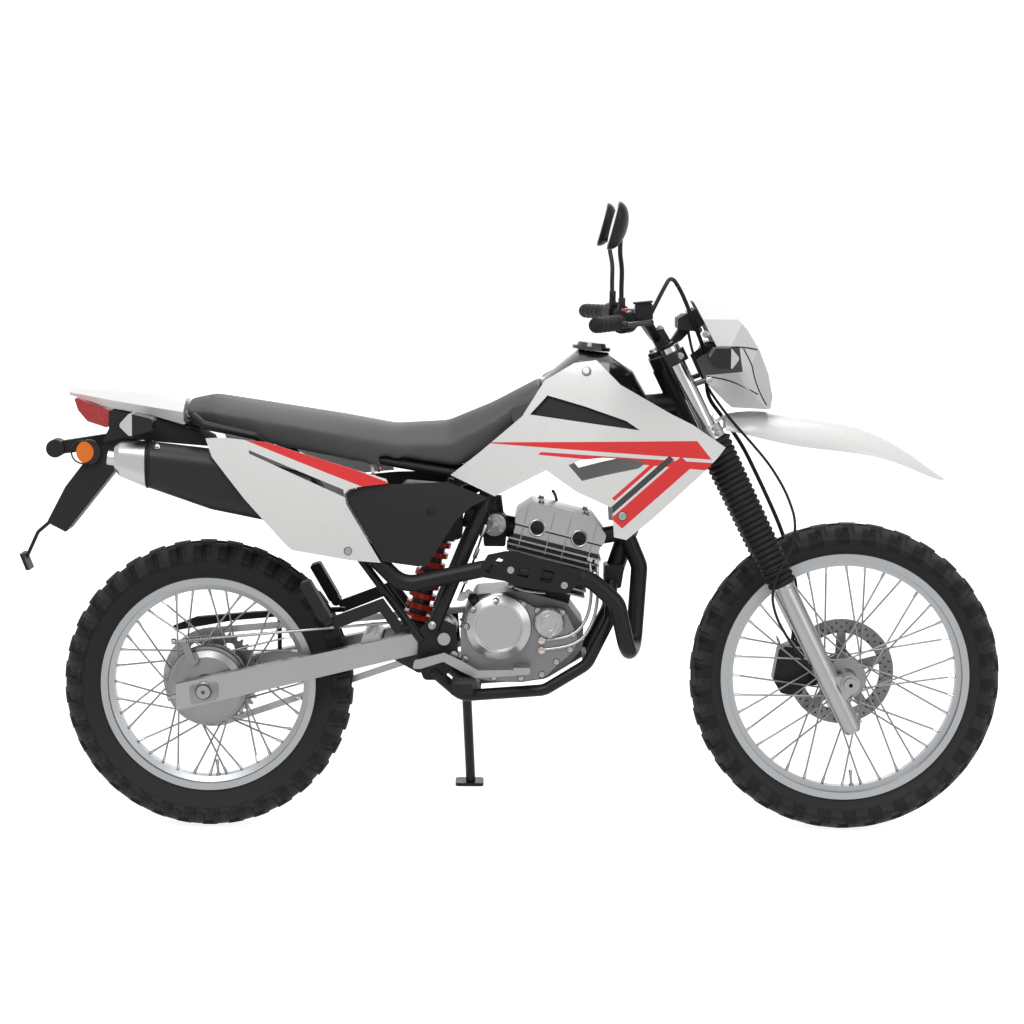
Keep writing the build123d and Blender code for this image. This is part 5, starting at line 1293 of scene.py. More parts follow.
@dataclass
class Fasteners:
    """Every visible screw and bolt that stands on a side face, each with a dark ring of painted shade round its
    washer's foot.

    Fields: the bench, the skin, the counts and circles of the wheels' bolts, the painted shade ring's
    radius as a share of its screw's and its thickness, and how squarely a surface has to face the
    side for its screw to follow its slope.
    """

    bench: Bench
    skin: Skin
    disc_bolts: int = 5
    disc_bolt_circle: float = 34.0
    disc_rivet_circle: float = 84.0
    sprocket_bolts: int = 6
    sprocket_bolt_circle: float = 46.0
    shade_ring_share: float = 1.35
    shade_ring_r: float = 0.9
    least_facing: float = 0.5

    def round_places(self, centre: Point, radius: float, count: int, start_deg: float) -> tuple:
        """Places spaced evenly round a centre (x, z)."""
        turns = [math.radians(start_deg + 360.0 * index / count) for index in range(count)]
        return tuple((centre[0] + radius * math.cos(turn), centre[1] + radius * math.sin(turn))
                     for turn in turns)

    def pair(self, right: str, left: str, node: str, finish: object, head: tuple[float, float, bool],
             places: tuple[tuple[float, float], ...]) -> tuple[Screws, ...]:
        """The same screws on both sides of the chassis.

        Args:
            right: The right group's name.
            left: The left group's name.
            node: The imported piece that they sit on.
            finish: Their finish.
            head: Their head's radius, height and whether it is a hexagon.
            places: Their places as (x, z).

        Returns:
            The right group and the left one.
        """
        sides = ((right, Side.RIGHT), (left, Side.LEFT))
        return tuple(Screws(name, Body.CHASSIS, node, side, finish, *head, places) for name, side in sides)

    def groups(self) -> tuple[Screws, ...]:
        """All the groups."""
        skirt = ((580, 474), (594, 512), (644, 532), (704, 522), (736, 508), (790, 504), (814, 456),
                 (808, 422), (778, 394), (746, 366), (700, 358), (640, 359), (596, 367), (577, 400))
        lugs = ((504, 476), (552, 408), (508, 398))
        front, rear = (WHEELBASE, FRONT_TYRE_R), (0.0, REAR_TYRE_R)
        generator = self.round_places((716, 446), 58, 6, 15)
        disc_bolts = self.round_places(front, self.disc_bolt_circle, self.disc_bolts, 54)
        rivets = self.round_places(front, self.disc_rivet_circle, self.disc_bolts, 90)
        sprocket = self.round_places(rear, self.sprocket_bolt_circle, self.sprocket_bolts, 0)
        right, left, chassis = Side.RIGHT, Side.LEFT, Body.CHASSIS
        front_wheel, rear_wheel = Body.FRONT_WHEEL, Body.REAR_WHEEL
        steel, black = Paint.STEEL, Paint.SATIN_BLACK
        return (
            *self.pair("shroud_screws_right", "shroud_screws_left", "shrouds", steel, (7, 2.5, False),
                       ((839, 1036), (918, 725))),
            *self.pair("panel_screw_right", "panel_screw_left", "side_panels", steel, (6, 2.5, False),
                       ((322, 646),)),
            *self.pair("side_cover_screw", "side_cover_screw_left", "side_covers", black, (6, 2, False),
                       ((500, 730),)),
            *self.pair("cover_bolts_right", "cover_bolts_left", "engine_covers", steel, (5.2, 4, True),
                       skirt),
            Screws("generator_bolts", chassis, "engine_covers", left, steel, 4.5, 3, True, generator),
            Screws("shield_screws", chassis, "heat_shield", right, steel, 6, 3, False,
                   ((676, 606), (793, 573))),
            Screws("disc_bolts", front_wheel, "front_brake_disc", left, black, 5.5, 3.5, False, disc_bolts),
            Screws("disc_rivets", front_wheel, "front_brake_disc", left, steel, 4.5, 1.2, False, rivets),
            Screws("sprocket_bolts", rear_wheel, "rear_sprocket", left, steel, 6.5, 4, True, sprocket),
            Screws("muffler_bolt", chassis, "muffler", right, steel, 6, 4, True, ((-96, 868),)),
            *self.pair("plate_bolts_right", "plate_bolts_left", "frame_cradle", steel, (7, 4, True), lugs),
        )

    def build(self) -> None:
        """Seats each group; a place that misses its piece is left out and reported."""
        bench = self.bench
        for group in self.groups():
            screws: list[bpy.types.Object] = []
            rings: list[bpy.types.Object] = []
            for x, z in group.places:
                try:
                    place, normal = self.skin.touch(group.node, x, z, group.side)
                except LookupError as missing:
                    LOG.warning("%s: %s", group.name, missing)
                    continue
                if abs(normal.y) < self.least_facing:
                    normal = Vector((0, group.side.value, 0))
                screws.append(bench.bolt(place, normal, group.radius, group.height, group.hexagon))
                # A dark ring round the washer's foot: painted shade where the screw meets its surface.
                rings.append(bench.ring(place + normal * 0.5, normal, group.radius * self.shade_ring_share,
                                        self.shade_ring_r, 24, 6))
            if screws:
                bench.dress(screws, group.name, group.body, group.finish, "bare_steel")
                bench.dress(rings, f"{group.name}_painted_shade_rings", group.body, Paint.SATIN_BLACK, "bar_steel")


@dataclass
class Engine:
    """What shows on the engine: cover rings, cam cover ribs, oil lines, cable and small fittings.

    Fields: the bench; the cam cover's and the fins' half widths, the places of the ribs and of the
    plugs ahead of the cylinder's axis, and the plugs' height up it; the radii of ribs, lines and
    cable; and the places of the right cover's filter cap and the left cover's generator.
    """

    bench: Bench
    cover_y: float = 74.0
    fins_y: float = 70.0
    rib_places: tuple[float, ...] = (-78, -18, 20, 78)
    plug_places: tuple[float, ...] = (-48, 48)
    plug_height: float = 160.0
    rib_r: float = 1.5
    line_r: float = 3.6
    cable_r: float = 2.4
    filter_cap: tuple[float, float, float] = (761, -126.6, 482)
    filter_bolt_circle: float = 27.0
    generator: tuple[float, float, float] = (716, 126.0, 446)

    def along(self, height: float, ahead: float, y: float) -> Vector:
        """A place on the tilted cylinder: up it from its foot, ahead of its axis and to its side."""
        up = Vector((math.sin(CYLINDER_TILT), 0, math.cos(CYLINDER_TILT)))
        out = Vector((math.cos(CYLINDER_TILT), 0, -math.sin(CYLINDER_TILT)))
        return Vector((CYLINDER_FOOT[0], y, CYLINDER_FOOT[1])) + up * height + out * ahead

    def cam_cover(self) -> None:
        """The ribs, plugs and gaskets on the head's two sides."""
        bench = self.bench
        ribs, plugs, gasket = [], [], []
        for side in Side:
            y, fins_y = side.value * self.cover_y, side.value * self.fins_y
            for ahead in self.rib_places:
                ribs.append(bench.bar(self.along(163, ahead, y), self.along(200, ahead, y), self.rib_r, 12))
                ribs.append(bench.bar(self.along(106, ahead, fins_y), self.along(152, ahead, fins_y),
                                      self.rib_r, 12))
            for ahead in self.plug_places:
                near = self.along(self.plug_height, ahead, side.value * 64)
                far = self.along(self.plug_height, ahead, side.value * 73)
                plugs.append(bench.bar(near, far, 14.4, 32, 1.5))
                ribs.append(bench.ring(self.along(self.plug_height, ahead, y), (0, 1, 0), 17.5, 2.2, 36, 8))
            rear, front = (self.along(GASKET_HEIGHT, ahead, side.value * 73.4) for ahead in (-97, 101))
            gasket.append(bench.bar(rear, front, 1.6, 10))
        bench.dress(ribs, "cam_cover_ribs", Body.CHASSIS, Paint.COVER, "engine_alloy")
        bench.dress(plugs, "cam_plugs", Body.CHASSIS, Paint.RUBBER, "black_rubber")
        bench.dress(gasket, "cam_gasket", Body.CHASSIS, Paint.RUBBER, "black_rubber")

    def cam_cover_top(self) -> None:
        """The four bolts on the cam cover's top, and the plug's cap and lead on its left."""
        bench = self.bench
        up = self.along(1, 0, 0) - self.along(0, 0, 0)
        bolts = [bench.bolt(self.along(214, ahead, y), up, 6, 5) for ahead in (-52, 50) for y in (-48, 48)]
        bench.dress(bolts, "cam_cover_bolts", Body.CHASSIS, Paint.STEEL, "bare_steel")
        plug = [bench.bar(self.along(150, -8, 66), self.along(158, -8, 92), 9, 6, 0.8),
                bench.bar(self.along(158, -8, 90), self.along(163, -8, 112), 11, 24, 3)]
        bench.dress(plug, "plug_cap", Body.CHASSIS, Paint.RUBBER, "black_rubber")
        lead = bench.pipe([self.along(163, -8, 110), self.along(172, -8, 122), self.along(200, -10, 112),
                           self.along(226, -20, 84), self.along(236, -30, 52)], 3.4)
        bench.dress([lead], "plug_lead", Body.CHASSIS, Paint.RUBBER, "black_rubber")

    def covers(self) -> None:
        """The turned steps of the round caps, the filter cap's bolts and the oil filler."""
        bench, across = self.bench, (0, 1, 0)
        rings = [bench.ring((650, -132.4, 473), across, 51, 1.6, 64, 8)]
        rings += [bench.ring(self.filter_cap, across, radius, 1.3, 48, 8) for radius in (17, 27)]
        rings += [bench.ring(self.generator, across, radius, 1.4, 48, 8) for radius in (22, 46)]
        bench.dress(rings, "cover_steps", Body.CHASSIS, Paint.COVER, "engine_alloy")
        x, y, z = self.filter_cap
        bolts = []
        for index in range(3):
            turn = math.radians(35 + 120 * index)
            reach = self.filter_bolt_circle
            place = (x + reach * math.cos(turn), y, z + reach * math.sin(turn))
            bolts.append(bench.bolt(place, (0, -1, 0), 4.2, 3))
        filler = [bench.bar((604, -108, 516), (596, -118, 532), 9, 24, 1.0),
                  bench.bar((597, -117, 530), (592, -123, 540), 11.5, 12, 1.4)]
        bench.dress(bolts, "filter_cap_bolts", Body.CHASSIS, Paint.STEEL, "bare_steel")
        bench.dress(filler, "oil_filler", Body.CHASSIS, Paint.SATIN_BLACK, "dark_plastic")

    def oil_lines(self) -> None:
        """Two steel oil lines from fittings on the right cover to the two-bolt bracket at the head."""
        bench = self.bench
        routes = (
            ((745, -112, 443), (790, -118, 446), (826, -114, 462), (850, -104, 500), (856, -96, 560),
             (850, -86, 618)),
            ((745, -112, 421), (796, -118, 426), (838, -114, 446), (864, -104, 494), (870, -96, 560),
             (866, -86, 612)),
        )
        bench.dress([bench.pipe(route, self.line_r) for route in routes], "oil_lines", Body.CHASSIS,
                    Paint.STEEL, "bare_steel")
        unions, rings = [], []
        for route in routes:
            (x, _, z), (far_x, _, far_z) = route[0], route[-1]
            unions.append(bench.bar((x, -108, z), (x, -124, z), 8.5, 6, 0.8))
            unions.append(bench.bar((far_x, -76, far_z), (far_x, -94, far_z), 7, 6, 0.8))
            rings.append(bench.ring((x, -112.5, z), (0, 1, 0), 9, 1.3, 24, 6))
        bench.dress(unions, "oil_unions", Body.CHASSIS, Paint.CHROME, "bare_steel")
        bench.dress(rings, "copper_rings", Body.CHASSIS, Paint.COPPER, "engine_alloy")

    def clutch_pull(self) -> None:
        """The clutch arm on the case's top with its cable and adjusters."""
        bench = self.bench
        cable = bench.pipe([(563, -98, 536), (584, -99, 588), (602, -98, 640), (619, -92, 694),
                            (640, -80, 760), (672, -66, 812)], self.cable_r)
        bench.dress([cable], "clutch_cable", Body.CHASSIS, Paint.RUBBER, "black_rubber")
        steel = [
            bench.bar((575, -99, 566), (582, -99, 584), 4.6, 6, 0.5),
            bench.bar((596, -98.5, 622), (604, -98, 644), 5.0, 6, 0.5),
            bench.bar((611, -95, 670), (620, -92, 696), 5.2, 6, 0.5),
            bench.plate([(556, 528), (570, 526), (590, 540), (588, 550), (566, 546)], -103, -97),
            bench.bar((584, -104, 544), (584, -86, 544), 8, 24, 1.2),
            bench.bar((676, -118, 566), (682, -100, 560), 7.5, 24, 2.2),
            bench.pipe([(679, -110, 561), (700, -108, 552), (726, -106, 548), (752, -102, 545)], 2.6),
        ]
        bench.dress(steel, "clutch_arm", Body.CHASSIS, Paint.STEEL, "bare_steel")

    def carburettor(self) -> None:
        """The carburettor's round side cap, its four screws and the hose clips."""
        bench = self.bench
        x, z = 640, 690
        cap = [bench.bar((x, -32, z), (x, -46, z), 26, 40, 3.0),
               bench.bar((x, -44, z), (x, -52, z), 9, 24, 1.5)]
        bench.dress(cap, "carburettor_cap", Body.CHASSIS, Paint.CAST, "engine_alloy")
        bolts = []
        for index in range(4):
            turn = math.radians(45 + 90 * index)
            place = (x + 20 * math.cos(turn), -46, z + 20 * math.sin(turn))
            bolts.append(bench.bolt(place, (0, -1, 0), 3.2, 2.2, False))
        bench.dress(bolts, "carburettor_screws", Body.CHASSIS, Paint.STEEL, "bare_steel")
        clips = [bench.ring((686, 0, 679), (0.98, 0, -0.19), 25.6, 2.2, 40, 8),
                 bench.ring((600, 0, 700), (0.96, 0, -0.28), 28.4, 2.2, 40, 8)]
        bench.dress(clips, "intake_clips", Body.CHASSIS, Paint.STEEL, "bare_steel")

    def exhaust(self) -> None:
        """The two nuts of the header's flange."""
        bench = self.bench
        port, way = Vector((876, -34, 662)), (0.95, 0, -0.3)
        studs = [bench.bolt(port + Vector((0, across, above)), way, 6, 7)
                 for across, above in ((-30, 6), (30, -6))]
        bench.dress(studs, "header_nuts", Body.CHASSIS, Paint.STEEL, "bare_steel")

    def build(self) -> None:
        """Makes the engine's fittings."""
        self.cam_cover()
        self.cam_cover_top()
        self.covers()
        self.oil_lines()
        self.clutch_pull()
        self.carburettor()
        self.exhaust()


@dataclass
class FrontEnd:
    """Fittings of the fork, the bar and the head lamp. They turn with the steering.

    Fields: the bench and the skin; the foot of the fork's axis, its legs' distance from the middle
    and how far up it the two clamps are; the bar's left end, the bend that its grip starts from and
    the grip's length with the gap beside it; how far inside that the switches and the lever stand
    and the lever is ahead; the grip's ribs; the left mirror's middle and foot; the gaiters' two ends
    up the fork, their ribs and the sides round them.
    """

    bench: Bench
    skin: Skin
    foot: tuple[float, float] = (WHEELBASE - AXLE_LEAD * math.cos(FORK_RAKE),
                                 FRONT_TYRE_R - AXLE_LEAD * math.sin(FORK_RAKE))
    leg_y: float = 95.0
    lower_s: float = 622.0
    upper_s: float = 805.0
    bar_end: tuple[float, float, float] = (851, 418, 1149)
    bar_bend: tuple[float, float, float] = (962, 178, 1152)
    grip_len: float = 122 + 5
    switch_reach: float = 22
    lever_reach: float = 49
    lever_ahead: float = 12
    rib_reaches: tuple[float, ...] = (-14, -38, -62, -86)
    mirror_middle: tuple[float, float, float] = (886, 338.0, 1354)
    mirror_foot: tuple[float, float, float] = (908, 266, 1167)
    gaiter_foot: float = 262.4
    gaiter_top: float = 619.6
    gaiter_ribs: int = 27
    gaiter_sides: int = 56

    def fork(self, s: float, ahead: float = 0.0, y: float = 0.0) -> Vector:
        """A place on the fork: up a leg from the axle's foot, ahead of the leg and to the side."""
        return Vector((self.foot[0] - math.sin(FORK_RAKE) * s + math.cos(FORK_RAKE) * ahead, y,
                       self.foot[1] + math.cos(FORK_RAKE) * s + math.sin(FORK_RAKE) * ahead))

    def legs(self) -> None:
        """Fork caps, pinch bolts, gaiter clips, the axle clamp's studs and the stem's nut."""
        bench, steer = self.bench, Body.STEERING
        up = self.fork(1) - self.fork(0)
        ahead = self.fork(0, 1) - self.fork(0)
        caps, pinch, clips, studs = [], [], [], []
        tubes_top = self.skin.span("fork_tubes")[1].z
        s_top = (tubes_top - self.foot[1]) / math.cos(FORK_RAKE) - 8
        for side in Side:
            y = side.value * self.leg_y
            out = Vector((0, side.value, 0))
            caps.append(bench.bar(self.fork(s_top, 0, y), self.fork(s_top + 7, 0, y), 16, 6, 1.2))
            caps.append(bench.bar(self.fork(s_top + 6, 0, y), self.fork(s_top + 13, 0, y), 5, 20, 0.8))
            for s in (self.lower_s + 9, self.lower_s + 22, self.upper_s + 14):
                pinch.append(bench.bolt(self.fork(s, 14, y) + out * 26, out, 5.5, 5, False))
            for s, radius in ((self.lower_s - 8, 37.0), (304, 31.5)):
                clips.append(bench.ring(self.fork(s, 0, y), up, radius, 2.0, 48, 8))
            for s in (-88, -70):
                studs.append(bench.bolt(self.fork(s, 21, y), ahead, 4.5, 5))
        bench.dress(caps, "fork_caps", steer, Paint.SATIN_BLACK, "bar_steel")
        bench.dress(pinch, "clamp_bolts", steer, Paint.STEEL, "bare_steel")
        bench.dress(clips, "gaiter_clips", steer, Paint.SATIN_BLACK, "black_rubber")
        bench.dress(studs, "axle_clamp_studs", steer, Paint.STEEL, "bare_steel")
        nut = [bench.bar(self.fork(self.upper_s + 38, -26), self.fork(self.upper_s + 46, -26), 15, 6, 1.2),
               bench.ring(self.fork(self.upper_s + 38.5, -26), up, 19, 1.6, 36, 8)]
        bench.dress(nut, "stem_nut", steer, Paint.CHROME, "bare_steel")

    def bar(self) -> None:
        """Clamp bolts, bar ends, grip ribs, lever pivots, the stop switch and the reservoir's lid."""
        bench, steer = self.bench, Body.STEERING
        bolts = [bench.bolt((992 + ahead, y, 1126), (0, 0, 1), 5, 4, False)
                 for y in (-34, 34) for ahead in (-13, 13)]
        bench.dress(bolts, "bar_clamp_bolts", steer, Paint.STEEL, "bare_steel")
        end = Vector(self.bar_end)
        way = (end - Vector(self.bar_bend)).normalized()
        ends, collars, pivots = [], [], []
        for side in Side:
            flip = Vector((1, side.value, 1))
            tip, out = end * flip, way * flip
            ends.append(bench.bar(tip + out * 3, tip + out * 9, 15.5, 32, 1.6))
            ends.append(bench.bar(tip + out * 8, tip + out * 11, 7, 24, 0.8))
            for reach in self.rib_reaches:
                collars.append(bench.ring(tip + out * reach, out, 16.4, 0.9, 40, 6))
            ahead = Vector((out.y, -out.x, 0)).normalized() * (self.lever_ahead * side.value)
            root = tip - out * (self.grip_len + self.lever_reach) + ahead
            pivots.append(bench.bar(root + Vector((0, 0, -9)), root + Vector((0, 0, 10)), 5, 6, 0.6))
        bench.dress(ends, "bar_ends", steer, Paint.RUBBER, "black_rubber")
        bench.dress(collars, "grip_ribs", steer, Paint.RUBBER, "black_rubber")
        bench.dress(pivots, "lever_pivots", steer, Paint.STEEL, "bare_steel")
        right = Vector((1, -1, 1))
        block = (end - way * (self.grip_len + self.switch_reach)) * right
        switch = [bench.bar(block + Vector((0, 0, 22)), block + Vector((0, 0, 29)), 6.5, 24, 1.4)]
        bench.dress(switch, "stop_switch", steer, Paint.SPRING_RED, "red_lens")
        perch = (end - way * (self.grip_len + self.lever_reach)) * right
        lid = [bench.plate([(perch.x + 7, perch.z + 36.5), (perch.x + 49, perch.z + 40.5),
                            (perch.x + 48, perch.z + 45.0), (perch.x + 8, perch.z + 41.0)],
                           perch.y - 22, perch.y + 22, 1.2)]
        bench.dress(lid, "reservoir_lid", steer, Paint.SATIN_BLACK, "bar_steel")

    def mirror_form(self, half_wide: float, half_tall: float, front: float, back: float,
                    corner: float = 2.6, taper: float = 0.18) -> bpy.types.Object:
        """A rounded shell that narrows towards its foot, drawn facing along +Z.

        Args:
            half_wide: Half its width.
            half_tall: Half its height.
            front: How far its glass side stands out.
            back: How far its shell bulges.
            corner: How full its corners are; 2 makes an ellipse.
            taper: How much narrower its foot is than its middle.

        Returns:
            The mesh at the origin, x up and y across.
        """
        self.bench.clear()
        bpy.ops.mesh.primitive_uv_sphere_add(segments=48, ring_count=24, radius=1.0)
        form = bpy.context.object
        for vertex in form.data.vertices:
            up, across, depth = vertex.co
            narrow = (1 - taper) + taper * up
            flat = max(1e-6, math.hypot(up, across))
            square = flat / max(1e-6, (abs(up) ** corner + abs(across) ** corner) ** (1 / corner))
            vertex.co = Vector((up * square * half_tall, across * square * half_wide * narrow,
                                depth * (front if depth > 0 else back))) * MM
        return form

    def mirrors(self) -> None:
        """The mirrors that stand for the plain ones: shell, glass, bent stem and lock nut."""
        bench, steer = self.bench, Body.STEERING
        facing = Vector((-0.968, 0, 0.25)).to_track_quat("Z", "Y").to_matrix().to_4x4()
        upward = Matrix(((0, -1, 0, 0), (1, 0, 0, 0), (0, 0, 1, 0), (0, 0, 0, 1)))
        shells, glasses, nuts = [], [], []
        for side in Side:
            flip = Vector((1, side.value, 1))
            middle, foot = Vector(self.mirror_middle) * flip, Vector(self.mirror_foot) * flip
            place = Matrix.Translation(middle * MM) @ facing @ upward
            shells.append(bench.settle(self.mirror_form(56, 52, 3, 30), place))
            glasses.append(bench.settle(self.mirror_form(50, 46, 4.2, 1), place))
            stem = (foot, (906, side.value * 269, 1215), (908, side.value * 274, 1262),
                    (900, side.value * 312, 1300), (902, side.value * 330, 1330))
            shells.append(bench.pipe(stem, 5.0, 8))
            nuts.append(bench.bar(foot + Vector((0, 0, -2)), foot + Vector((0, 0, 12)), 9, 6, 0.8))
            nuts.append(bench.bar(foot + Vector((0, 0, 10)), foot + Vector((0, 0, 34)), 7.5, 24, 1.2))
        shell = bench.dress(shells, "mirror_shells", steer, Paint.SATIN_BLACK, "mirror_shell", 50.0)
        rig.replaces(shell, "mirrors")
        bench.dress(glasses, "mirror_glass", steer, Paint.MIRROR, "lens", 50.0)
        bench.dress(nuts, "mirror_nuts", steer, Paint.SATIN_BLACK, "bar_steel")

    def head_lamp(self) -> None:
        """The reflector bowl and the bulb behind the lens, and the cowl's two screws."""
        bench, steer = self.bench, Body.STEERING
        bench.clear()
        bpy.ops.mesh.primitive_uv_sphere_add(segments=48, ring_count=24, radius=1.0)
        bowl = bpy.context.object
        bpy.ops.object.mode_set(mode="EDIT")
        bpy.ops.mesh.select_all(action="SELECT")
        bpy.ops.mesh.bisect(plane_co=(0, 0, 0), plane_no=(0, 0, 1), clear_outer=True)
        bpy.ops.object.mode_set(mode="OBJECT")
        for vertex in bowl.data.vertices:
            vertex.co = Vector((vertex.co.x * 0.046, vertex.co.y * 0.054, vertex.co.z * 0.034))
        bench.modify(bowl, "SOLIDIFY", thickness=0.002, offset=1.0)
        ahead = Vector((0.97, 0, 0.24)).to_track_quat("Z", "Y").to_matrix().to_4x4()
        bench.settle(bowl, Matrix.Translation(Vector((1196, 0, 1030)) * MM) @ ahead)
        bench.dress([bowl], "lamp_reflector", steer, Paint.MIRROR, "lens", 50.0)
        bulb = [bench.bar((1168, 0, 1023), (1192, 0, 1029), 8, 24, 1.0),
                bench.bar((1190, 0, 1028.5), (1206, 0, 1032.5), 5.5, 20, 2.4)]
        bench.dress(bulb, "lamp_bulb", steer, Paint.CHROME, "lens")
        screws = [bench.bolt((1098, side.value * 115, 1118), (0, side.value, 0), 6, 2.5, False)
                  for side in Side]
        bench.dress(screws, "cowl_screws", steer, Paint.STEEL, "bare_steel")

    def gaiter(self) -> bpy.types.Object:
        """One ribbed boot round the Z axis, a grid rolled into a tube and given a wall."""
        self.bench.clear()
        bpy.ops.mesh.primitive_grid_add(x_subdivisions=self.gaiter_sides,
                                        y_subdivisions=self.gaiter_ribs * 6, size=1.0)
        boot = bpy.context.object
        for vertex in boot.data.vertices:
            turn = (vertex.co.x + 0.5) * 2 * math.pi
            share = vertex.co.y + 0.5
            crest = 32.6 + 5.0 * share
            ripple = abs(math.sin(math.pi * self.gaiter_ribs * share)) ** 0.8
            radius = crest - 5.2 + 4.6 * ripple
            s = self.gaiter_foot + (self.gaiter_top - self.gaiter_foot) * share
            vertex.co = Vector((math.cos(turn) * radius, math.sin(turn) * radius, s)) * MM
        bpy.ops.object.mode_set(mode="EDIT")
        bpy.ops.mesh.select_all(action="SELECT")
        bpy.ops.mesh.remove_doubles(threshold=SAME_POINT * MM)
        bpy.ops.mesh.normals_make_consistent(inside=False)
        bpy.ops.object.mode_set(mode="OBJECT")
        self.bench.modify(boot, "SOLIDIFY", thickness=0.0016, offset=-1.0)
        return boot

    def gaiters(self) -> None:
        """The finely ribbed rubber boots that stand for the plain ones."""
        bench = self.bench
        up = Vector((-math.sin(FORK_RAKE), 0, math.cos(FORK_RAKE)))
        turned = up.to_track_quat("Z", "Y").to_matrix().to_4x4()
        boots = []
        for side in Side:
            place = Matrix.Translation(self.fork(0, 0, side.value * self.leg_y) * MM) @ turned
            boots.append(bench.settle(self.gaiter(), place))
        piece = bench.dress(boots, "ribbed_gaiters", Body.STEERING, Paint.RUBBER, "black_rubber", 80.0)
        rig.replaces(piece, "fork_gaiters")

    def cowl_seams(self) -> None:
        """The dark gaps between the cowl's visor, its lens and its lower part."""
        bench, lines = self.bench, []
        seams = (((1130, 1091), (1150, 1091), (1172, 1090), (1196, 1088), (1212, 1084)),
                 ((1182, 1086), (1202, 1053), (1206, 1026), (1222, 985), (1236, 962)),
                 ((1104, 1026), (1130, 1022), (1160, 1014), (1190, 1000), (1216, 986)))
        for side in Side:
            for seam in seams:
                felt = []
                for x, z in seam:
                    try:
                        felt.append(self.skin.touch("headlight_cowl", x, z, side)[0])
                    except LookupError as missing:
                        LOG.warning("cowl seam: %s", missing)
                if len(felt) > 2:
                    lines.append(bench.pipe(felt, 1.5, 3))
        bench.dress(lines, "cowl_seams", Body.STEERING, Paint.SATIN_BLACK, "dark_plastic")

    def dial(self) -> None:
        """The speedometer's face: a dark window, its ring, its scale marks and its needle."""
        bench, steer = self.bench, Body.STEERING
        centre = Vector((1057.5, 0, 1160.5))
        up = Vector((-0.50, 0, 0.866))
        along = Vector((0.866, 0, 0.50))
        ring = [bench.ring(centre + up * 0.8, up, 19.5, 1.3, 48, 8)]
        bench.dress(ring, "dial_ring", steer, Paint.CHROME, "bare_steel")
        face = [bench.bar(centre - up * 1.0, centre + up * 0.6, 18.8, 48, 0.3)]
        bench.dress(face, "dial_face", steer, Paint.GLOSS_BLACK, "dark_plastic")
        marks = []
        for index in range(13):
            turn = math.radians(-120 + 20 * index)
            out = along * math.cos(turn) + Vector((0, 1, 0)) * math.sin(turn)
            marks.append(bench.bar(centre + up * 0.8 + out * 13.5, centre + up * 0.8 + out * 17, 0.5, 6))
        needle = Vector((0, 1, 0)) * -0.8 + along * 0.6
        marks.append(bench.bar(centre + up * 1.1 - needle * 3, centre + up * 1.1 + needle * 12, 0.6, 6))
        bench.dress(marks, "dial_marks", steer, Paint.LINE_WHITE, "white_panel")

    def brake(self) -> None:
        """The caliper's bolts and its bleed nipple."""
        bench, steer = self.bench, Body.STEERING
        bolts = [bench.bolt((x, 93, z), (0, 1, 0), 6, 5) for x, z in ((1346, 330), (1346, 370))]
        bolts += [bench.bolt((x, 93, z), (0, 1, 0), 4.5, 3, False) for x, z in ((1300, 318), (1300, 392))]
        bench.dress(bolts, "caliper_bolts", steer, Paint.STEEL, "bare_steel")
        nipple = [bench.bar((1290, 86, 404), (1285, 88, 418), 3.4, 6, 0.4),
                  bench.bar((1286, 88, 416), (1283, 89, 424), 2.2, 12, 0.4)]
        bench.dress(nipple, "bleed_nipple", steer, Paint.STEEL, "bare_steel")

    def build(self) -> None:
        """Makes the front end's fittings."""
        self.legs()
        self.bar()
        self.mirrors()
        self.head_lamp()
        self.gaiters()
        self.cowl_seams()
        self.dial()
        self.brake()


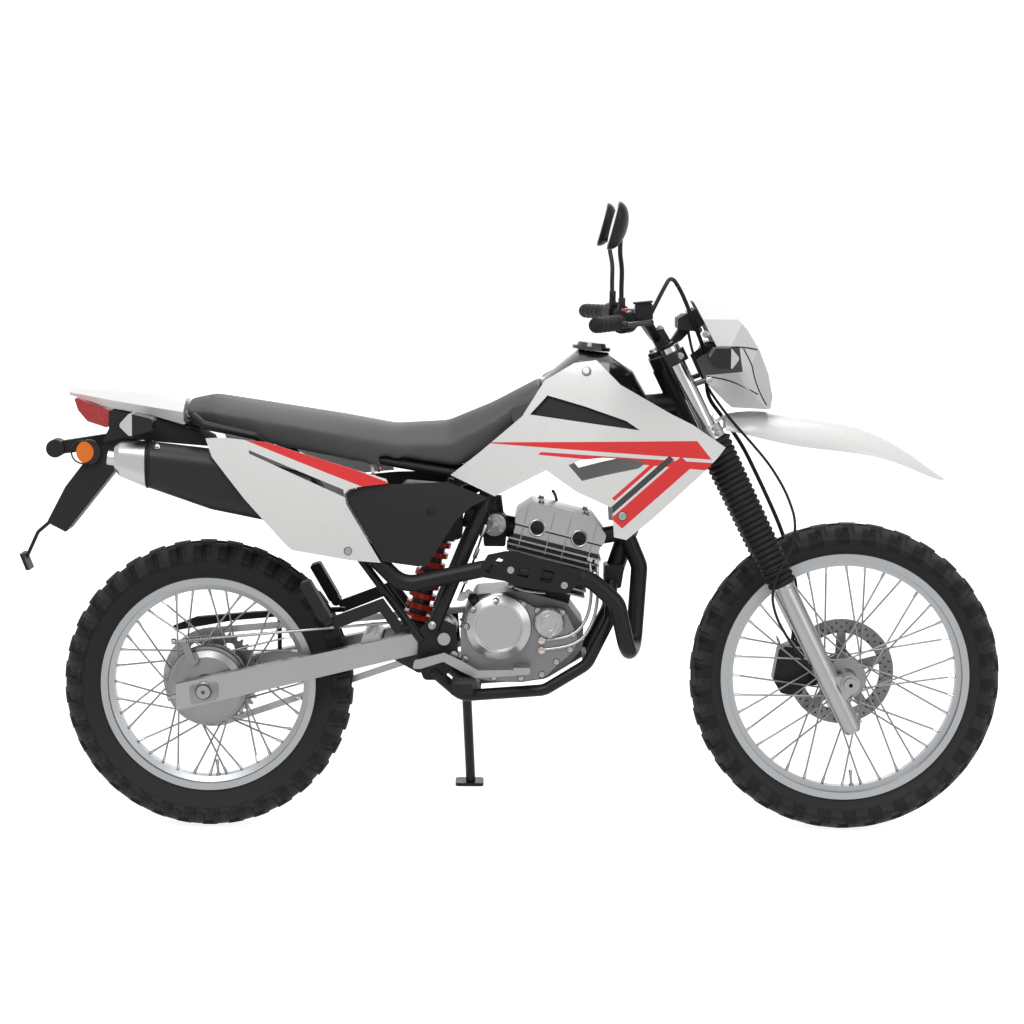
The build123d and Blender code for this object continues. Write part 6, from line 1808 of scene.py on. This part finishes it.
@dataclass
class Wheels:
    """Spoke nipples and valves of both wheels.

    Fields: the bench, the spokes in a wheel, how far the rim's well lies inside its bead, a
    nipple's length and the valve's turn from straight ahead.
    """

    bench: Bench
    spokes: int = 36
    well_drop: float = 13.0 + 3.2
    nipple_len: float = 15.0
    valve_deg: float = 275

    def build_one(self, name: str, body: Body, centre: Vector, bead_r: float, hub_r: float,
                  flange_y: float, cross_deg: float) -> None:
        """One wheel's nipples and valve.

        Args:
            name: What the pieces' names start with.
            body: The wheel's body.
            centre: The axle, in millimetres.
            bead_r: The rim's bead radius.
            hub_r: The radius that the spokes start from.
            flange_y: How far the hub's flanges stand from the middle.
            cross_deg: How far round the spokes cross.
        """
        well_r = bead_r - self.well_drop
        nipples = []
        for index in range(self.spokes):
            side = -1 if index % 2 else 1
            lean = 1 if (index // 2) % 2 else -1
            rim_turn = math.radians(index * 360.0 / self.spokes)
            hub_turn = rim_turn + math.radians(lean * cross_deg)
            hub = centre + Vector(((hub_r - 4) * math.cos(hub_turn), side * (flange_y + lean * 2.6),
                                   (hub_r - 4) * math.sin(hub_turn)))
            rim = centre + Vector(((well_r - 0.6) * math.cos(rim_turn), side * (4.5 + lean * 2.4),
                                   (well_r - 0.6) * math.sin(rim_turn)))
            inward = (hub - rim).normalized()
            nipples.append(self.bench.bar(rim, rim + inward * self.nipple_len, 3.6, 8, 0.0, 2.9))
        self.bench.dress(nipples, f"{name}_nipples", body, Paint.CHROME, "bare_steel")
        turn = math.radians(self.valve_deg)
        out = Vector((math.cos(turn), 0, math.sin(turn)))
        start = centre + out * (well_r + 1)
        valve = [self.bench.bar(start, start - out * 26, 3.0, 16, 0.3),
                 self.bench.bar(start, start - out * 5, 5.5, 6, 0.5),
                 self.bench.bar(start - out * 25, start - out * 36, 4.0, 12, 0.8)]
        self.bench.dress(valve, f"{name}_valve", body, Paint.STEEL, "bare_steel")

    def build(self) -> None:
        """Makes both wheels' pieces."""
        self.build_one("front", Body.FRONT_WHEEL, FRONT_AXLE, 266.7, 46.0, 34.0, 62.0)
        self.build_one("rear", Body.REAR_WHEEL, REAR_AXLE, 228.6, 82.0, 35.0, 38.0)


@dataclass
class RearEnd:
    """Chain adjusters, the brake rod, the reflector's ring and the muffler's bands.

    Fields: the bench and the skin; the rod's radius and its spring's turns and their spacing; the
    muffler bands' places, their middle, half height and half width, how full their corners are and
    how thick they are.
    """

    bench: Bench
    skin: Skin
    rod_r: float = 3.2
    spring_turns: int = 14
    spring_pitch: float = 4.2
    band_places: tuple[float, ...] = (-118.5, -112.0)
    band_middle: tuple[float, float] = (-118, 828)
    band_half_z: float = 51.0
    band_half_y: float = 45.0
    band_corner: float = 2.7
    band_r: float = 2.4

    def adjusters(self) -> None:
        """An adjuster bolt with its lock nut in the end of each beam, and its index plate."""
        bench = self.bench
        bolts, plates = [], []
        for side in Side:
            y = side.value * 100.0
            bolts.append(bench.bar((-60, y, 310), (-76, y, 306), 4.0, 20, 0.4))
            bolts.append(bench.bar((-62, y, 309.5), (-68, y, 308), 7.5, 6, 0.8))
            bolts.append(bench.bar((-75, y, 306.3), (-82, y, 304.5), 7.0, 6, 0.8))
            outline = [(-30, 300), (-26, 294), (26, 305), (32, 313), (32, 337), (26, 346), (-26, 339),
                       (-32, 332)]
            plates.append(bench.plate(outline, side.value * 115.0, side.value * 117.5))
            plates.append(bench.ring((0, side.value * 119, REAR_TYRE_R), (0, 1, 0), 18.5, 2.4, 48, 8))
        bench.dress(bolts, "chain_adjusters", Body.CHASSIS, Paint.STEEL, "bare_steel")
        bench.dress(plates, "axle_plates", Body.CHASSIS, Paint.HUB, "hub_alloy")

    def brake_rod(self) -> None:
        """The rod from the brake lever to the pedal's shaft, with its spring and wing nut."""
        bench = self.bench
        start, end = Vector((-64, -73, 429)), Vector((440, -92, 479))
        way = (end - start).normalized()
        steel = [bench.bar(start - way * 8, end, self.rod_r, 20, 0.6),
                 bench.bar(start - way * 12, start - way * 2, 7, 6, 1.0)]
        steel.append(bench.plate([(432, 470), (446, 462), (458, 492), (448, 496)], -97, -88))
        bench.dress(steel, "brake_rod", Body.CHASSIS, Paint.STEEL, "bare_steel")
        turns = [bench.ring(start + way * (20 + self.spring_pitch * index), way, 6.0, 1.1, 20, 6)
                 for index in range(self.spring_turns)]
        bench.dress(turns, "brake_rod_spring", Body.CHASSIS, Paint.STEEL, "bare_steel")

    def band(self) -> bpy.types.Object:
        """One band round the can's rounded section, from a torus pushed out to its shape."""
        thin, corner = 0.05, self.band_corner
        self.bench.clear()
        bpy.ops.mesh.primitive_torus_add(major_radius=1.0, minor_radius=thin, major_segments=72,
                                         minor_segments=8)
        ring = bpy.context.object
        for vertex in ring.data.vertices:
            flat = Vector((vertex.co.x, vertex.co.y))
            turn = math.atan2(flat.y, flat.x)
            square = (abs(math.cos(turn)) ** corner + abs(math.sin(turn)) ** corner) ** (-1 / corner)
            grow = (flat.length - 1.0) / thin * self.band_r
            vertex.co = Vector((math.cos(turn) * (self.band_half_y * square + grow) * MM,
                                math.sin(turn) * (self.band_half_z * square + grow) * MM,
                                vertex.co.z / thin * self.band_r * MM))
        return ring

    def muffler(self) -> None:
        """The two dark bands between the can and its bright end."""
        bench = self.bench
        upright = Matrix(((0, 0, 1, 0), (1, 0, 0, 0), (0, 1, 0, 0), (0, 0, 0, 1)))
        y, z = self.band_middle
        bands = []
        for x in self.band_places:
            place = Matrix.Translation(Vector((x, y, z)) * MM) @ upright
            bands.append(bench.settle(self.band(), place))
        bench.dress(bands, "muffler_bands", Body.CHASSIS, Paint.SATIN_BLACK, "muffler_black", 60.0)

    def lamps(self) -> None:
        """The right reflector's bezel."""
        bench = self.bench
        try:
            place, normal = self.skin.touch("rear_lamps", -270, 848, Side.RIGHT)
            bench.dress([bench.ring(place, normal, 25.5, 1.8, 48, 8)], "reflector_ring", Body.CHASSIS,
                        Paint.SATIN_BLACK, "dark_plastic")
        except LookupError as missing:
            LOG.warning("reflector: %s", missing)

    def build(self) -> None:
        """Makes the rear end's fittings."""
        self.adjusters()
        self.brake_rod()
        self.muffler()
        self.lamps()


def main() -> None:
    """Builds the machine's looks in order and keeps both boxes."""
    logging.basicConfig(level=logging.INFO, format="%(message)s")
    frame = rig.load()
    cad_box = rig.bounds()
    stance = Stance.from_frame()
    bench = Bench(stance, Shelf(stance))
    Studio(stance).build()
    NodeDresser(frame, bench).build()
    Seat(bench).build(frame["nodes"])
    skin = Skin(frame["nodes"], stance)
    Fasteners(bench, skin).build()
    Engine(bench).build()
    FrontEnd(bench, skin).build()
    Wheels(bench).build()
    RearEnd(bench, skin).build()
    boxes = {"cad": [list(corner) for corner in cad_box],
             "visual": [list(corner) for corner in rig.bounds()]}
    with open("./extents.json", "w", encoding="utf-8") as file:
        json.dump(boxes, file)
    LOG.info("%d modelled pieces", bench.count)


if __name__ == "__main__":
    main()
